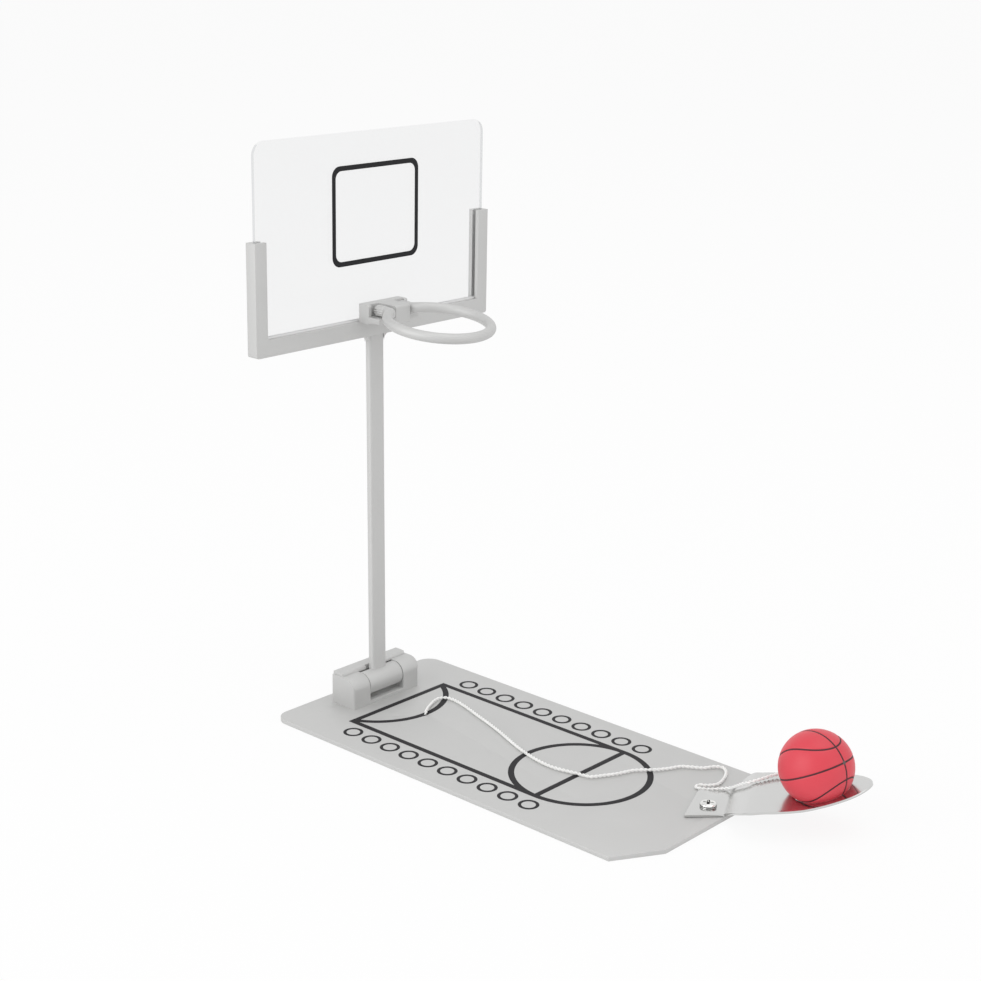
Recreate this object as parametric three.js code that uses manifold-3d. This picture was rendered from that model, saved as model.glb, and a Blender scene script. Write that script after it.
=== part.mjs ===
// Tabletop basketball game: a metal plate with a folding hoop stand at one end
// and a sprung launcher with a tethered ball at the other. Millimetres, +Z up.
// Origin: centre of the plate's underside. +X points to the launcher, +Y to the far side.

import * as THREE from 'three';
import { mergeVertices } from 'three/addons/utils/BufferGeometryUtils.js';
import Module from 'manifold-3d';

const wasm = await Module();
wasm.setup();

// Clearances and shared values
const seatGap = 0.2; // between a piece and the face that it rests on
const runGap = 0.15; // round a pin, a screw or a tenon
const sideGap = 0.35; // beside a turning piece
const overrun = 4; // how far every cut runs past the face that it opens
const roundSteps = 40; // facets round a pin, bore or barrel
const arcSteps = 8; // facets on a rounded corner
const rodSides = 12; // facets round the hoop's rod

// Base plate
const plateLength = 173;
const plateWidth = 84.6;
const plateThick = 1.6;
const rearCorner = 6;
const chamferLength = 10.3;
const chamferWidth = 17.3;

// Hinge block, near the plate's rear edge
const blockMargin = 5.4;
const blockDepth = 12.8;
const blockHalf = 17.5;
const blockHeight = 11.6;
const blockRound = 4.7; // front top edge, and the barrel turns about its centre
const blockRearRound = 0.9;
const blockCorner = 1; // upright corners
const windowHalf = 9;
const sillHeight = 2.5;
const sillSlope = 1.5; // how far the sill's top edge is sloped off
const ridgeHeight = 1.2;
const ridgeWidth = 5.8;
const ridgeInset = 0.6;
const notchSlack = 0.9;

// Fold hinge at the foot of the pole
const barrelRadius = 4.6;
const pinRadius = 1.4;
const pinNearWall = 3;
const pinRecess = 0.4;

// Screws that hold the hinge block from below
const blockScrewShare = 0.76;
const blockScrewRadius = 1.2;
const blockScrewHead = 2.3;
const blockScrewHeadHeight = 1.1;
const blockScrewLength = 7;

// Pole, which leans back a little
const poleWidth = 7.3;
const poleDepth = 2.8;
const poleRound = 0.9;
const poleFootBack = 0.65;
const poleLean = 1.5;
const poleLength = 136.5; // from the fold axis to the board frame
const poleTenon = 2.2;
const poleFillet = 2.6; // where the board frame comes down to the pole

// Board frame, a channel that holds the board on three sides
const frameForward = 0.6; // its front face ahead of the pole's head
const frameDepth = 4.75;
const frameHalf = 59.05;
const uprightWidth = 5.25;
const uprightLength = 34.3;
const railHeight = 6;
const frameRound = 1;
const grooveSide = 3.7; // how deep the board stands in the uprights
const grooveFoot = 2.85; // and in the rail
const ribHalf = 2.2; // the rib that carries the hoop bracket
const ribLength = 3.7;
const ribRise = 0.8;
const ribTip = 1.2;

// Clear board
const boardThick = 1.3;
const boardInset = 2.3; // from the frame's front face to the board's middle
const boardRise = 68.7; // above the rail
const boardRound = 5;

// Hoop bracket, which stands on the board frame's rib
const bracketHalf = 10;
const bracketHeight = 7.1;
const bracketBack = 5;
const bracketRound = 1;
const tongueHalf = 3.6;
const tongueLength = 12.65;
const ledgeLength = 10.45;
const ledgeLift = 0.8; // the ledge's underside rises to the front

// Hoop, a bent rod with two arms
const hoopRadius = 18.58;
const hoopRod = 1.9;
const hoopReach = 24.35; // from the pin to the ring's centre
const hoopSink = 1.64; // the ring's centre below the pin
const hoopDroopDegrees = 6.8;
const hoopPinRadius = 0.8;
const hoopPinForward = 6.65;
const hoopPinRise = 4.9;
const armSpread = 6.05;
const armTaper = 0.05;
const hubRadius = 2.1;
const hubLength = 3.6;
const hubRibs = 7;
const hubRibSteps = 6;
const armSteps = 12;
const hubRibDepth = 0.25;

// Launcher leaf, one strip of spring steel held by a screw near the plate's front edge
const launcherMargin = 7.8;
const launcherY = 9.1;
const launcherYawDegrees = 28;
const leafThick = 0.8;
const footNearRear = 7; // the foot's rear edge is slanted and reaches further to the far side
const footNearHalf = 9.4;
const footFarRear = 5;
const footFarHalf = 12;
const leafNeck = 6;
const leafLength = 54.8;
const neckHalf = 6.4;
const flareLength = 8.2;
const flareHalf = 16.5;
const flareFarHalf = 15.2;
const paddleNose = 5;
const paddleNoseHalf = 6.5;
const leafRise = 16.3;
const neckSplit = 0.3;
const cornerRound = 1.5;

// Launcher screw
const launcherScrewRadius = 1.45;
const launcherHeadRadius = 3.3;
const launcherHeadHeight = 1.5;
const crossWidth = 0.7;
const crossLength = 3.6;
const crossDepth = 0.9;

// Ball and its seat in the leaf
const ballRadius = 12.9;
const seatRadius = 9.45;
const seatWall = 1.55; // leaf on each side of the seat
const seatFromTip = 16.5;
const ballHoleRadius = 1;
const ballHoleDepth = 3;
const ballGap = 0.2; // all round the ball, where the seat's rim is pressed to its form

// String
const stringRadius = 0.55;
const stringSides = 8;
const stringSteps = 78;
const stringHoleRadius = 1.1;
const stringHoleMargin = 40;
const stringHoleY = -1.1;
const knotRadius = 1.9;
const knotHeight = 0.9;
const recessGap = 0.3;
const recessDepth = 1.1;

// Places worked out from the sizes
const degrees = Math.PI / 180;
const plateFront = plateLength / 2;
const blockRear = -plateFront + blockMargin;
const blockFront = blockRear + blockDepth;
const blockTop = plateThick + blockHeight;
const blockMiddle = (blockRear + blockFront) / 2;
const foldX = blockFront - blockRound;
const foldZ = blockTop - blockRound;
const poleFootX = foldX - poleFootBack;
const poleHeadX = poleFootX - poleLean;
const frameFront = poleHeadX + poleDepth / 2 + frameForward;
const boardMiddle = frameFront - boardInset;
const railBottom = foldZ + poleLength;
const railTop = railBottom + railHeight;
const uprightTop = railTop + uprightLength;
const boardTop = railTop + boardRise;
const bracketTop = railTop + bracketHeight;
const hoopPinX = frameFront + hoopPinForward;
const armZ = railTop + hoopPinRise;
const ledgeTop = armZ - hubRadius - seatGap;
const launcherX = plateFront - launcherMargin;
const leafTop = seatGap + leafThick;
const seatAt = leafLength - seatFromTip;
const flareAt = leafNeck + flareLength;
const stringHoleX = -plateFront + stringHoleMargin;

// Solid helpers

function toSolid(geometry) {
  const plain = geometry.clone();
  plain.deleteAttribute('normal');
  plain.deleteAttribute('uv');
  const welded = mergeVertices(plain);
  const vertProperties = new Float32Array(welded.attributes.position.array);
  const triVerts = new Uint32Array(welded.index.array);
  return new wasm.Manifold(new wasm.Mesh({ numProp: 3, vertProperties, triVerts }));
}

function toGeometry(solid) {
  const mesh = solid.getMesh();
  const geometry = new THREE.BufferGeometry();
  geometry.setAttribute('position', new THREE.BufferAttribute(mesh.vertProperties, 3));
  geometry.setIndex(new THREE.BufferAttribute(mesh.triVerts, 1));
  const facets = geometry.toNonIndexed();
  facets.computeVertexNormals();
  return facets;
}

function outline(points) {
  return new THREE.Shape(points.map(([a, b]) => new THREE.Vector2(a, b)));
}

// A rectangle from (a0, b0) to (a1, b1) whose corners are rounded by the radii
// [bottom left, bottom right, top right, top left].
function roundedRectangle(a0, b0, a1, b1, radii) {
  const [bl, br, tr, tl] = radii;
  const shape = new THREE.Shape();
  shape.moveTo(a0 + bl, b0);
  shape.lineTo(a1 - br, b0);
  if (br > 0) shape.absarc(a1 - br, b0 + br, br, -Math.PI / 2, 0, false);
  shape.lineTo(a1, b1 - tr);
  if (tr > 0) shape.absarc(a1 - tr, b1 - tr, tr, 0, Math.PI / 2, false);
  shape.lineTo(a0 + tl, b1);
  if (tl > 0) shape.absarc(a0 + tl, b1 - tl, tl, Math.PI / 2, Math.PI, false);
  shape.lineTo(a0, b0 + bl);
  if (bl > 0) shape.absarc(a0 + bl, b0 + bl, bl, Math.PI, 1.5 * Math.PI, false);
  return shape;
}

// A closed outline of corners [a, b, ease], each rounded off from that far before and after it.
function easedOutline(corners) {
  const shape = new THREE.Shape();
  const place = (index) => new THREE.Vector2(...corners[(index + corners.length) % corners.length]);
  corners.forEach(([a, b, ease = 0], index) => {
    const corner = new THREE.Vector2(a, b);
    const from = place(index - 1).sub(corner).setLength(ease).add(corner);
    const to = place(index + 1).sub(corner).setLength(ease).add(corner);
    if (index > 0) shape.lineTo(from.x, from.y);
    else shape.moveTo(from.x, from.y);
    if (ease > 0) shape.quadraticCurveTo(a, b, to.x, to.y);
  });
  return shape;
}

function prismZ(shape, z0, z1) {
  const options = { depth: z1 - z0, bevelEnabled: false, curveSegments: arcSteps };
  return toSolid(new THREE.ExtrudeGeometry(shape, options).translate(0, 0, z0));
}

// The outline's axes are X and Z, and the solid runs from y0 to y1.
function prismY(shape, y0, y1) {
  const options = { depth: y1 - y0, bevelEnabled: false, curveSegments: arcSteps };
  const geometry = new THREE.ExtrudeGeometry(shape, options);
  return toSolid(geometry.rotateX(Math.PI / 2).translate(0, y1, 0));
}

// The outline's axes are Y and Z, and the solid runs from x0 to x1.
function prismX(shape, x0, x1) {
  const options = { depth: x1 - x0, bevelEnabled: false, curveSegments: arcSteps };
  const turn = new THREE.Matrix4().makeBasis(
    new THREE.Vector3(0, 1, 0),
    new THREE.Vector3(0, 0, 1),
    new THREE.Vector3(1, 0, 0),
  );
  const geometry = new THREE.ExtrudeGeometry(shape, options).applyMatrix4(turn);
  return toSolid(geometry.translate(x0, 0, 0));
}

function box(x0, x1, y0, y1, z0, z1) {
  const geometry = new THREE.BoxGeometry(x1 - x0, y1 - y0, z1 - z0);
  return toSolid(geometry.translate((x0 + x1) / 2, (y0 + y1) / 2, (z0 + z1) / 2));
}

function rodY(radius, x, z, y0, y1) {
  const geometry = new THREE.CylinderGeometry(radius, radius, y1 - y0, roundSteps);
  return toSolid(geometry.translate(x, (y0 + y1) / 2, z));
}

function coneZ(radiusLow, radiusHigh, x, y, z0, z1) {
  const geometry = new THREE.CylinderGeometry(radiusHigh, radiusLow, z1 - z0, roundSteps);
  return toSolid(geometry.rotateX(Math.PI / 2).translate(x, y, (z0 + z1) / 2));
}

function rodZ(radius, x, y, z0, z1) {
  return coneZ(radius, radius, x, y, z0, z1);
}

function ring(count, make) {
  return Array.from({ length: count }, (_, index) => make(index));
}

// Materials

function metal(color, roughness) {
  return new THREE.MeshStandardMaterial({ color, metalness: 1, roughness });
}

const satin = () => metal('#c4c4c2', 0.42);
const bright = () => metal('#d6d6d4', 0.12);

function addMesh(parent, name, geometry, material) {
  const mesh = new THREE.Mesh(geometry, material);
  mesh.name = name;
  parent.add(mesh);
  return mesh;
}

// The string's way over the plate and the leaf, point by point
const stringRoute = [
  [-46.5, -1.1, 1.2],
  [-46.5, -1.1, 1.9],
  [-47.3, 0.3, 2.5],
  [-50.2, 5.6, 2.4],
  [-52.1, 11.3, 2.4],
  [-50.6, 14.6, 2.4],
  [-46.2, 15.2, 2.4],
  [-30.6, 10.8, 2.4],
  [-14.5, 5.5, 2.4],
  [-3.2, 0.9, 2.4],
  [6, -2.2, 2.4],
  [13.8, -3.9, 2.4],
  [20.7, -4.2, 2.4],
  [25.8, -3.1, 2.4],
  [30.8, -1.9, 2.4],
  [34.7, -0.9, 2.4],
  [37.3, 3.1, 2.4],
  [40, 7.7, 2.4],
  [42.5, 14.2, 2.4],
  [47, 18.9, 2.4],
  [50.6, 24.2, 2.4],
  [52.8, 28.7, 2.4],
  [59.4, 33.2, 2.4],
  [61.3, 36.6, 2.4],
  [64.2, 38.2, 2.4],
  [67.6, 35.2, 2.4],
  [69.9, 30.1, 2.4],
  [70.7, 25.8, 2.4],
  [68.6, 22.3, 2.4],
  [66.4, 20.6, 2.4],
  [66.6, 18.5, 2.4],
  [70.3, 19.7, 2.4],
  [74.9, 23.4, 2.9],
  [78.9, 23.2, 4.9],
  [82.4, 22.1, 7.4],
  [85.9, 21.8, 9.4],
  [89.3, 24.2, 11],
  [92.4, 29.8, 12],
  [96.6, 32.4, 12.7],
  [100, 33.4, 14.1],
];

// Stand for the hoop: plate, block, screws and pin

function basePlate() {
  const half = plateWidth / 2;
  const shape = new THREE.Shape();
  shape.moveTo(-plateFront + rearCorner, -half);
  shape.lineTo(plateFront - chamferLength, -half);
  shape.lineTo(plateFront, -half + chamferWidth);
  shape.lineTo(plateFront, half - chamferWidth);
  shape.lineTo(plateFront - chamferLength, half);
  shape.lineTo(-plateFront + rearCorner, half);
  shape.absarc(-plateFront + rearCorner, half - rearCorner, rearCorner, Math.PI / 2, Math.PI, false);
  shape.lineTo(-plateFront, -half + rearCorner);
  shape.absarc(-plateFront + rearCorner, -half + rearCorner, rearCorner, Math.PI, 1.5 * Math.PI, false);
  const above = plateThick + overrun;
  const stringHole = rodZ(stringHoleRadius, stringHoleX, stringHoleY, -overrun, above);
  const knotSeat = rodZ(knotRadius + recessGap, stringHoleX, stringHoleY, -overrun, recessDepth);
  const tapped = rodZ(launcherScrewRadius + runGap, launcherX, launcherY, -overrun, above);
  let solid = prismZ(shape, 0, plateThick).subtract(stringHole).subtract(knotSeat).subtract(tapped);
  for (const side of [-1, 1]) solid = solid.subtract(blockScrewSpace(side));
  return solid;
}

// The countersunk hole through the plate and up into the block, with the screw's running gap
function blockScrewSpace(side) {
  const y = side * blockScrewShare * blockHalf;
  const wide = blockScrewHead + runGap;
  const narrow = blockScrewRadius + runGap;
  const sink = coneZ(wide, narrow, blockMiddle, y, 0, blockScrewHeadHeight + runGap);
  const mouth = rodZ(wide, blockMiddle, y, -overrun, 0);
  const shank = rodZ(narrow, blockMiddle, y, 0, pinRecess + blockScrewLength);
  return sink.add(mouth).add(shank);
}

function blockScrew(side) {
  const y = side * blockScrewShare * blockHalf;
  const head = coneZ(blockScrewHead, blockScrewRadius, blockMiddle, y, runGap, blockScrewHeadHeight);
  const shank = rodZ(blockScrewRadius, blockMiddle, y, runGap, blockScrewLength);
  const slot = box(
    blockMiddle - blockScrewHead,
    blockMiddle + blockScrewHead,
    y - crossWidth / 2,
    y + crossWidth / 2,
    -overrun,
    crossWidth,
  );
  return head.add(shank).subtract(slot);
}

function hingeBlock() {
  const rearArcX = blockRear + blockRearRound;
  const rearArcZ = blockTop - blockRearRound;
  const cheek = new THREE.Shape();
  cheek.moveTo(blockRear, plateThick);
  cheek.lineTo(blockFront, plateThick);
  cheek.lineTo(blockFront, foldZ);
  cheek.absarc(foldX, foldZ, blockRound, 0, Math.PI / 2, false);
  cheek.lineTo(rearArcX, blockTop);
  cheek.absarc(rearArcX, rearArcZ, blockRearRound, Math.PI / 2, Math.PI, false);
  const corners = [blockCorner, blockCorner, blockCorner, blockCorner];
  const plan = roundedRectangle(blockRear, -blockHalf, blockFront, blockHalf, corners);
  const body = prismY(cheek, -blockHalf, blockHalf).intersect(prismZ(plan, plateThick, blockTop));

  const ridgeEnd = blockHalf - ridgeInset;
  const ridgeFront = blockRear + ridgeWidth;
  const ridgeTop = blockTop + ridgeHeight;
  const ridgeRadii = [0, 0, ridgeHeight, blockRearRound];
  const ridgeSide = roundedRectangle(blockRear, foldZ, ridgeFront, ridgeTop, ridgeRadii);
  const ridgePlan = roundedRectangle(blockRear, -ridgeEnd, ridgeFront, ridgeEnd, corners);
  const ridge = prismY(ridgeSide, -ridgeEnd, ridgeEnd).intersect(prismZ(ridgePlan, foldZ, ridgeTop));

  const barrelSpace = rodY(barrelRadius + sideGap, foldX, foldZ, -windowHalf, windowHalf);
  const sillTop = plateThick + sillHeight;
  const above = blockTop + overrun;
  const frontSpace = box(foldX, blockFront + overrun, -windowHalf, windowHalf, sillTop, above);
  const notchHalf = poleWidth / 2 + notchSlack;
  const poleRear = poleFootX - poleDepth / 2 - seatGap;
  const topSpace = box(poleRear, foldX, -windowHalf, windowHalf, foldZ, above);
  const notch = box(poleRear - notchSlack, foldX, -notchHalf, notchHalf, foldZ, above);
  const pinBore = rodY(pinRadius + runGap, foldX, foldZ, -blockHalf + pinNearWall, blockHalf + overrun);

  const slope = outline([
    [blockFront - sillSlope, sillTop],
    [blockFront, sillTop - sillSlope],
    [blockFront + overrun, sillTop - sillSlope],
    [blockFront + overrun, sillTop + overrun],
    [blockFront - sillSlope, sillTop + overrun],
  ]);
  const slopeSpace = prismY(slope, -windowHalf, windowHalf);

  let solid = body.add(ridge).subtract(barrelSpace).subtract(frontSpace).subtract(topSpace);
  solid = solid.subtract(notch).subtract(slopeSpace).subtract(pinBore);
  for (const side of [-1, 1]) solid = solid.subtract(blockScrewSpace(side));
  return solid;
}

function hingePin() {
  return rodY(pinRadius, foldX, foldZ, -blockHalf + pinNearWall + seatGap, blockHalf - pinRecess);
}

// Pole with the barrel that it turns on

function poleTurn() {
  const lean = -Math.atan(poleLean / poleLength);
  return new THREE.Matrix4()
    .makeTranslation(poleFootX, 0, foldZ)
    .multiply(new THREE.Matrix4().makeRotationY(lean));
}

function poleBar(grow, length) {
  const halfWidth = poleWidth / 2 + grow;
  const halfDepth = poleDepth / 2 + grow;
  const radii = [poleRound, poleRound, poleRound, poleRound];
  const section = roundedRectangle(-halfDepth, -halfWidth, halfDepth, halfWidth, radii);
  const options = { depth: length, bevelEnabled: false, curveSegments: arcSteps / 2 };
  return toSolid(new THREE.ExtrudeGeometry(section, options).applyMatrix4(poleTurn()));
}

function pole() {
  const barrel = rodY(barrelRadius, foldX, foldZ, -windowHalf + sideGap, windowHalf - sideGap);
  const bore = rodY(pinRadius + runGap, foldX, foldZ, -windowHalf, windowHalf);
  return poleBar(0, poleLength + poleTenon).add(barrel).subtract(bore);
}

// Board frame and board

function boardShape(grow) {
  const half = frameHalf - uprightWidth + grooveSide + grow;
  const bottom = railTop - grooveFoot - grow;
  return roundedRectangle(-half, bottom, half, boardTop + grow, [0, 0, boardRound, boardRound]);
}

function boardFrame() {
  const rear = frameFront - frameDepth;
  const lower = [frameRound, frameRound, 0, 0];
  const outer = roundedRectangle(-frameHalf, railBottom, frameHalf, uprightTop, lower);
  const inner = roundedRectangle(
    -frameHalf + uprightWidth,
    railTop,
    frameHalf - uprightWidth,
    uprightTop + overrun,
    [0, 0, 0, 0],
  );
  const space = prismX(inner, rear - overrun, frameFront + overrun);
  const channel = prismX(outer, rear, frameFront).subtract(space);
  const grooveHalf = boardThick / 2 + runGap;
  const groove = prismX(boardShape(runGap), boardMiddle - grooveHalf, boardMiddle + grooveHalf);

  const poleEdge = poleWidth / 2;
  const filletEdge = poleEdge + poleFillet;
  const filletLow = railBottom - poleFillet;
  const fillets = new THREE.Shape();
  fillets.moveTo(-poleEdge, filletLow);
  fillets.lineTo(poleEdge, filletLow);
  fillets.absarc(filletEdge, filletLow, poleFillet, Math.PI, Math.PI / 2, true);
  fillets.lineTo(filletEdge, railBottom + poleTenon);
  fillets.lineTo(-filletEdge, railBottom + poleTenon);
  fillets.lineTo(-filletEdge, railBottom);
  fillets.absarc(-filletEdge, filletLow, poleFillet, Math.PI / 2, 0, true);
  const shoulders = prismX(fillets, poleHeadX - poleDepth / 2, poleHeadX + poleDepth / 2);
  const ribFront = frameFront + ribLength;
  const ribSide = outline([
    [frameFront, railBottom + ribRise],
    [ribFront, railTop - ribTip],
    [ribFront, railTop - seatGap],
    [frameFront, railTop - seatGap],
  ]);
  const rib = prismY(ribSide, -ribHalf, ribHalf);
  const socket = poleBar(runGap, poleLength + poleTenon + seatGap);
  return channel.add(shoulders).add(rib).subtract(groove).subtract(socket);
}

function backboard() {
  const half = boardThick / 2;
  return prismX(boardShape(0), boardMiddle - half, boardMiddle + half);
}

// Bracket, hoop and its pin

function hoopBracket() {
  const rear = frameFront + seatGap;
  const radii = [0, 0, bracketRound, 0];
  const block = prismY(
    roundedRectangle(rear, railTop, rear + bracketBack, bracketTop, radii),
    -bracketHalf,
    bracketHalf,
  );
  const tongueFront = rear + tongueLength;
  const tongueRadii = [0, bracketRound, bracketRound, 0];
  const tongueSide = roundedRectangle(rear, railTop, tongueFront, bracketTop, tongueRadii);
  const tongue = prismY(tongueSide, -tongueHalf, tongueHalf);
  const ledgeFront = rear + ledgeLength;
  const ledgeSide = outline([
    [rear, railTop],
    [ledgeFront, railTop + ledgeLift],
    [ledgeFront, ledgeTop],
    [rear, ledgeTop],
  ]);
  const ledge = prismY(ledgeSide, -bracketHalf, bracketHalf);
  const pinReach = bracketHalf + overrun;
  const pinBore = rodY(hoopPinRadius + runGap, hoopPinX, armZ, -pinReach, pinReach);
  let solid = block.add(tongue).add(ledge).subtract(pinBore);
  const pocketRear = hoopPinX - hubRadius - sideGap;
  const pocketHalf = hubRadius + sideGap;
  for (const side of [-1, 1]) {
    const near = side * armSpread - pocketHalf;
    const far = side * armSpread + pocketHalf;
    const pocket = box(pocketRear, tongueFront + overrun, near, far, ledgeTop, bracketTop + overrun);
    solid = solid.subtract(pocket);
  }
  return solid;
}

function hoopPin() {
  const reach = armSpread + hubRadius - runGap;
  return rodY(hoopPinRadius, hoopPinX, armZ, -reach, reach);
}

// The rod's centre line: down one arm, round the ring and back along the other arm
function hoopRing() {
  const droop = hoopDroopDegrees * degrees;
  const middleX = hoopPinX + hoopReach;
  const middleZ = armZ - hoopSink;
  const leave = Math.asin((armSpread + hoopRod) / hoopRadius);
  const points = [];
  const ringPoint = (angle) => {
    const along = -Math.cos(angle) * hoopRadius;
    return new THREE.Vector3(
      middleX + along * Math.cos(droop),
      Math.sin(angle) * hoopRadius,
      middleZ - along * Math.sin(droop),
    );
  };
  const turns = roundSteps;
  for (let index = 0; index <= turns; index += 1) {
    const angle = leave + ((2 * Math.PI - 2 * leave) * index) / turns;
    points.push(ringPoint(angle));
  }
  let solid = sweep(new THREE.CatmullRomCurve3(points), hoopRod, turns);
  for (const side of [-1, 1]) {
    const start = new THREE.Vector3(hoopPinX, side * armSpread, armZ);
    const bend = new THREE.Vector3(hoopPinX + hubLength, side * armSpread, armZ);
    const join = points[side > 0 ? 0 : turns];
    const next = points[side > 0 ? 1 : turns - 1];
    const arm = new THREE.CurvePath();
    arm.add(new THREE.LineCurve3(start, bend));
    arm.add(new THREE.LineCurve3(bend, join));
    arm.add(new THREE.LineCurve3(join, next));
    solid = solid.add(sweep(arm, hoopRod - armTaper, armSteps)).add(hub(side));
  }
  const bore = rodY(hoopPinRadius + runGap, hoopPinX, armZ, -bracketHalf, bracketHalf);
  return solid.subtract(bore);
}

// A ribbed hub at the end of an arm, rounded behind the pin so that it can turn
function hub(side) {
  const steps = hubRibs * hubRibSteps;
  const section = ring(steps, (index) => {
    const angle = (2 * Math.PI * index) / steps;
    const radius = hubRadius - hubRibDepth * (0.5 - 0.5 * Math.cos(angle * hubRibs));
    return [side * armSpread + radius * Math.cos(angle), armZ + radius * Math.sin(angle)];
  });
  const hubFront = hoopPinX + hubLength;
  const ahead = box(hoopPinX, hubFront, -bracketHalf, bracketHalf, railTop, bracketTop + overrun);
  const eye = rodY(hubRadius, hoopPinX, armZ, -bracketHalf, bracketHalf);
  return prismX(outline(section), hoopPinX - hubRadius, hubFront).intersect(ahead.add(eye));
}

// A round rod along a curve, with closed ends
function sweep(curve, radius, steps) {
  const section = outline(ring(rodSides, (index) => {
    const angle = (2 * Math.PI * index) / rodSides;
    return [radius * Math.cos(angle), radius * Math.sin(angle)];
  }));
  const options = { steps, bevelEnabled: false, extrudePath: curve };
  return toSolid(new THREE.ExtrudeGeometry(section, options));
}

// Launcher: the leaf's side line and plan, cut from one bent strip

const leafHeightShares = [
  [0, 0],
  [0.168, 0.417],
  [0.348, 0.509],
  [0.551, 0.579],
  [0.775, 0.782],
  [1, 1],
];

// Half widths between the flare and the seat
const leafWidthShares = [
  [0.27, 0.994],
  [0.635, 0.79],
];

function leafLine() {
  const run = leafLength - leafNeck;
  const points = leafHeightShares.map(
    ([along, up]) => new THREE.Vector2(leafNeck + along * run, leafTop + up * leafRise),
  );
  return new THREE.SplineCurve(points);
}

function leafBand(from, to) {
  const wide = flareHalf + overrun;
  const samples = leafLine().getPoints(roundSteps);
  const low = samples.map((point, index) => {
    const before = samples[Math.max(index - 1, 0)];
    const after = samples[Math.min(index + 1, samples.length - 1)];
    const slope = Math.atan2(after.y - before.y, after.x - before.x);
    return [point.x + leafThick * Math.sin(slope), point.y - leafThick * Math.cos(slope)];
  });
  const high = samples.map((point) => [point.x, point.y]).reverse();
  const paddle = prismY(outline([...low, ...high]), -wide, wide);
  const flat = box(-footNearRear, leafNeck + neckSplit, -wide, wide, seatGap, leafTop);
  const limits = box(from, to, -wide, wide, -overrun, leafTop + leafRise + overrun);
  return paddle.add(flat).intersect(limits);
}

function leafPlan() {
  const nose = leafLength - paddleNose;
  const paddle = leafWidthShares.map(([along, wide]) => [
    flareAt + along * (seatAt - flareAt),
    wide * flareHalf,
  ]);
  paddle.push([seatAt, seatRadius + seatWall]);
  const turns = roundSteps / 2;
  const tip = ring(turns + 1, (index) => {
    const angle = Math.PI * (index / turns - 1 / 2);
    return [nose + paddleNose * Math.cos(angle), paddleNoseHalf * Math.sin(angle)];
  });
  return easedOutline([
    [-footNearRear, -footNearHalf, cornerRound],
    [leafNeck, -neckHalf],
    [flareAt, -flareHalf],
    ...paddle.map(([along, wide]) => [along, -wide]),
    ...tip,
    ...paddle.reverse(),
    [flareAt, flareFarHalf],
    [-footFarRear, footFarHalf, cornerRound],
  ]);
}

function launcherFoot() {
  const plan = prismZ(leafPlan(), -overrun, leafTop + leafRise + overrun);
  const hole = rodZ(launcherScrewRadius + runGap, 0, 0, -overrun, leafTop + overrun);
  return leafBand(-footNearRear - overrun, leafNeck - neckSplit / 2).intersect(plan).subtract(hole);
}

function seatFrame() {
  const line = leafLine();
  const span = leafLine().getPoints(roundSteps * arcSteps);
  let best = 0;
  span.forEach((point, index) => {
    if (Math.abs(point.x - seatAt) < Math.abs(span[best].x - seatAt)) best = index;
  });
  const tangent = line.getTangent(best / (span.length - 1));
  return { u: span[best].x, z: span[best].y, slope: Math.atan2(tangent.y, tangent.x) };
}

function launcherBlade() {
  const seat = seatFrame();
  const plan = prismZ(leafPlan(), -overrun, leafTop + leafRise + overrun);
  const drill = new THREE.CylinderGeometry(seatRadius, seatRadius, 2 * overrun, roundSteps);
  drill.rotateX(Math.PI / 2).rotateY(-seat.slope).translate(seat.u, 0, seat.z);
  const rest = ballPlace();
  const press = new THREE.SphereGeometry(ballRadius + ballGap, roundSteps, roundSteps / 2);
  press.translate(rest.x, rest.y, rest.z);
  const blank = leafBand(leafNeck + neckSplit / 2, leafLength + overrun).intersect(plan);
  return blank.subtract(toSolid(drill)).subtract(toSolid(press));
}

function launcherScrew() {
  const low = leafTop + runGap;
  const dome = new THREE.SphereGeometry(1, roundSteps, arcSteps * 2);
  dome.scale(launcherHeadRadius, launcherHeadRadius, launcherHeadHeight).translate(0, 0, low);
  const upper = box(
    -launcherHeadRadius - overrun,
    launcherHeadRadius + overrun,
    -launcherHeadRadius - overrun,
    launcherHeadRadius + overrun,
    low,
    low + launcherHeadHeight + overrun,
  );
  const shank = rodZ(launcherScrewRadius, 0, 0, -plateThick + seatGap, low + runGap);
  const floor = low + launcherHeadHeight - crossDepth;
  const top = low + launcherHeadHeight + overrun;
  const across = crossLength / 2;
  const narrow = crossWidth / 2;
  const cross = box(-across, across, -narrow, narrow, floor, top)
    .add(box(-narrow, narrow, -across, across, floor, top));
  return toSolid(dome).intersect(upper).add(shank).subtract(cross);
}

function ballPlace() {
  const seat = seatFrame();
  const rise = Math.sqrt(ballRadius ** 2 - seatRadius ** 2);
  return new THREE.Vector3(
    seat.u - rise * Math.sin(seat.slope),
    0,
    seat.z + rise * Math.cos(seat.slope),
  );
}

function launcherToPart() {
  return new THREE.Matrix4()
    .makeTranslation(launcherX, launcherY, plateThick)
    .multiply(new THREE.Matrix4().makeRotationZ(launcherYawDegrees * degrees));
}

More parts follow.
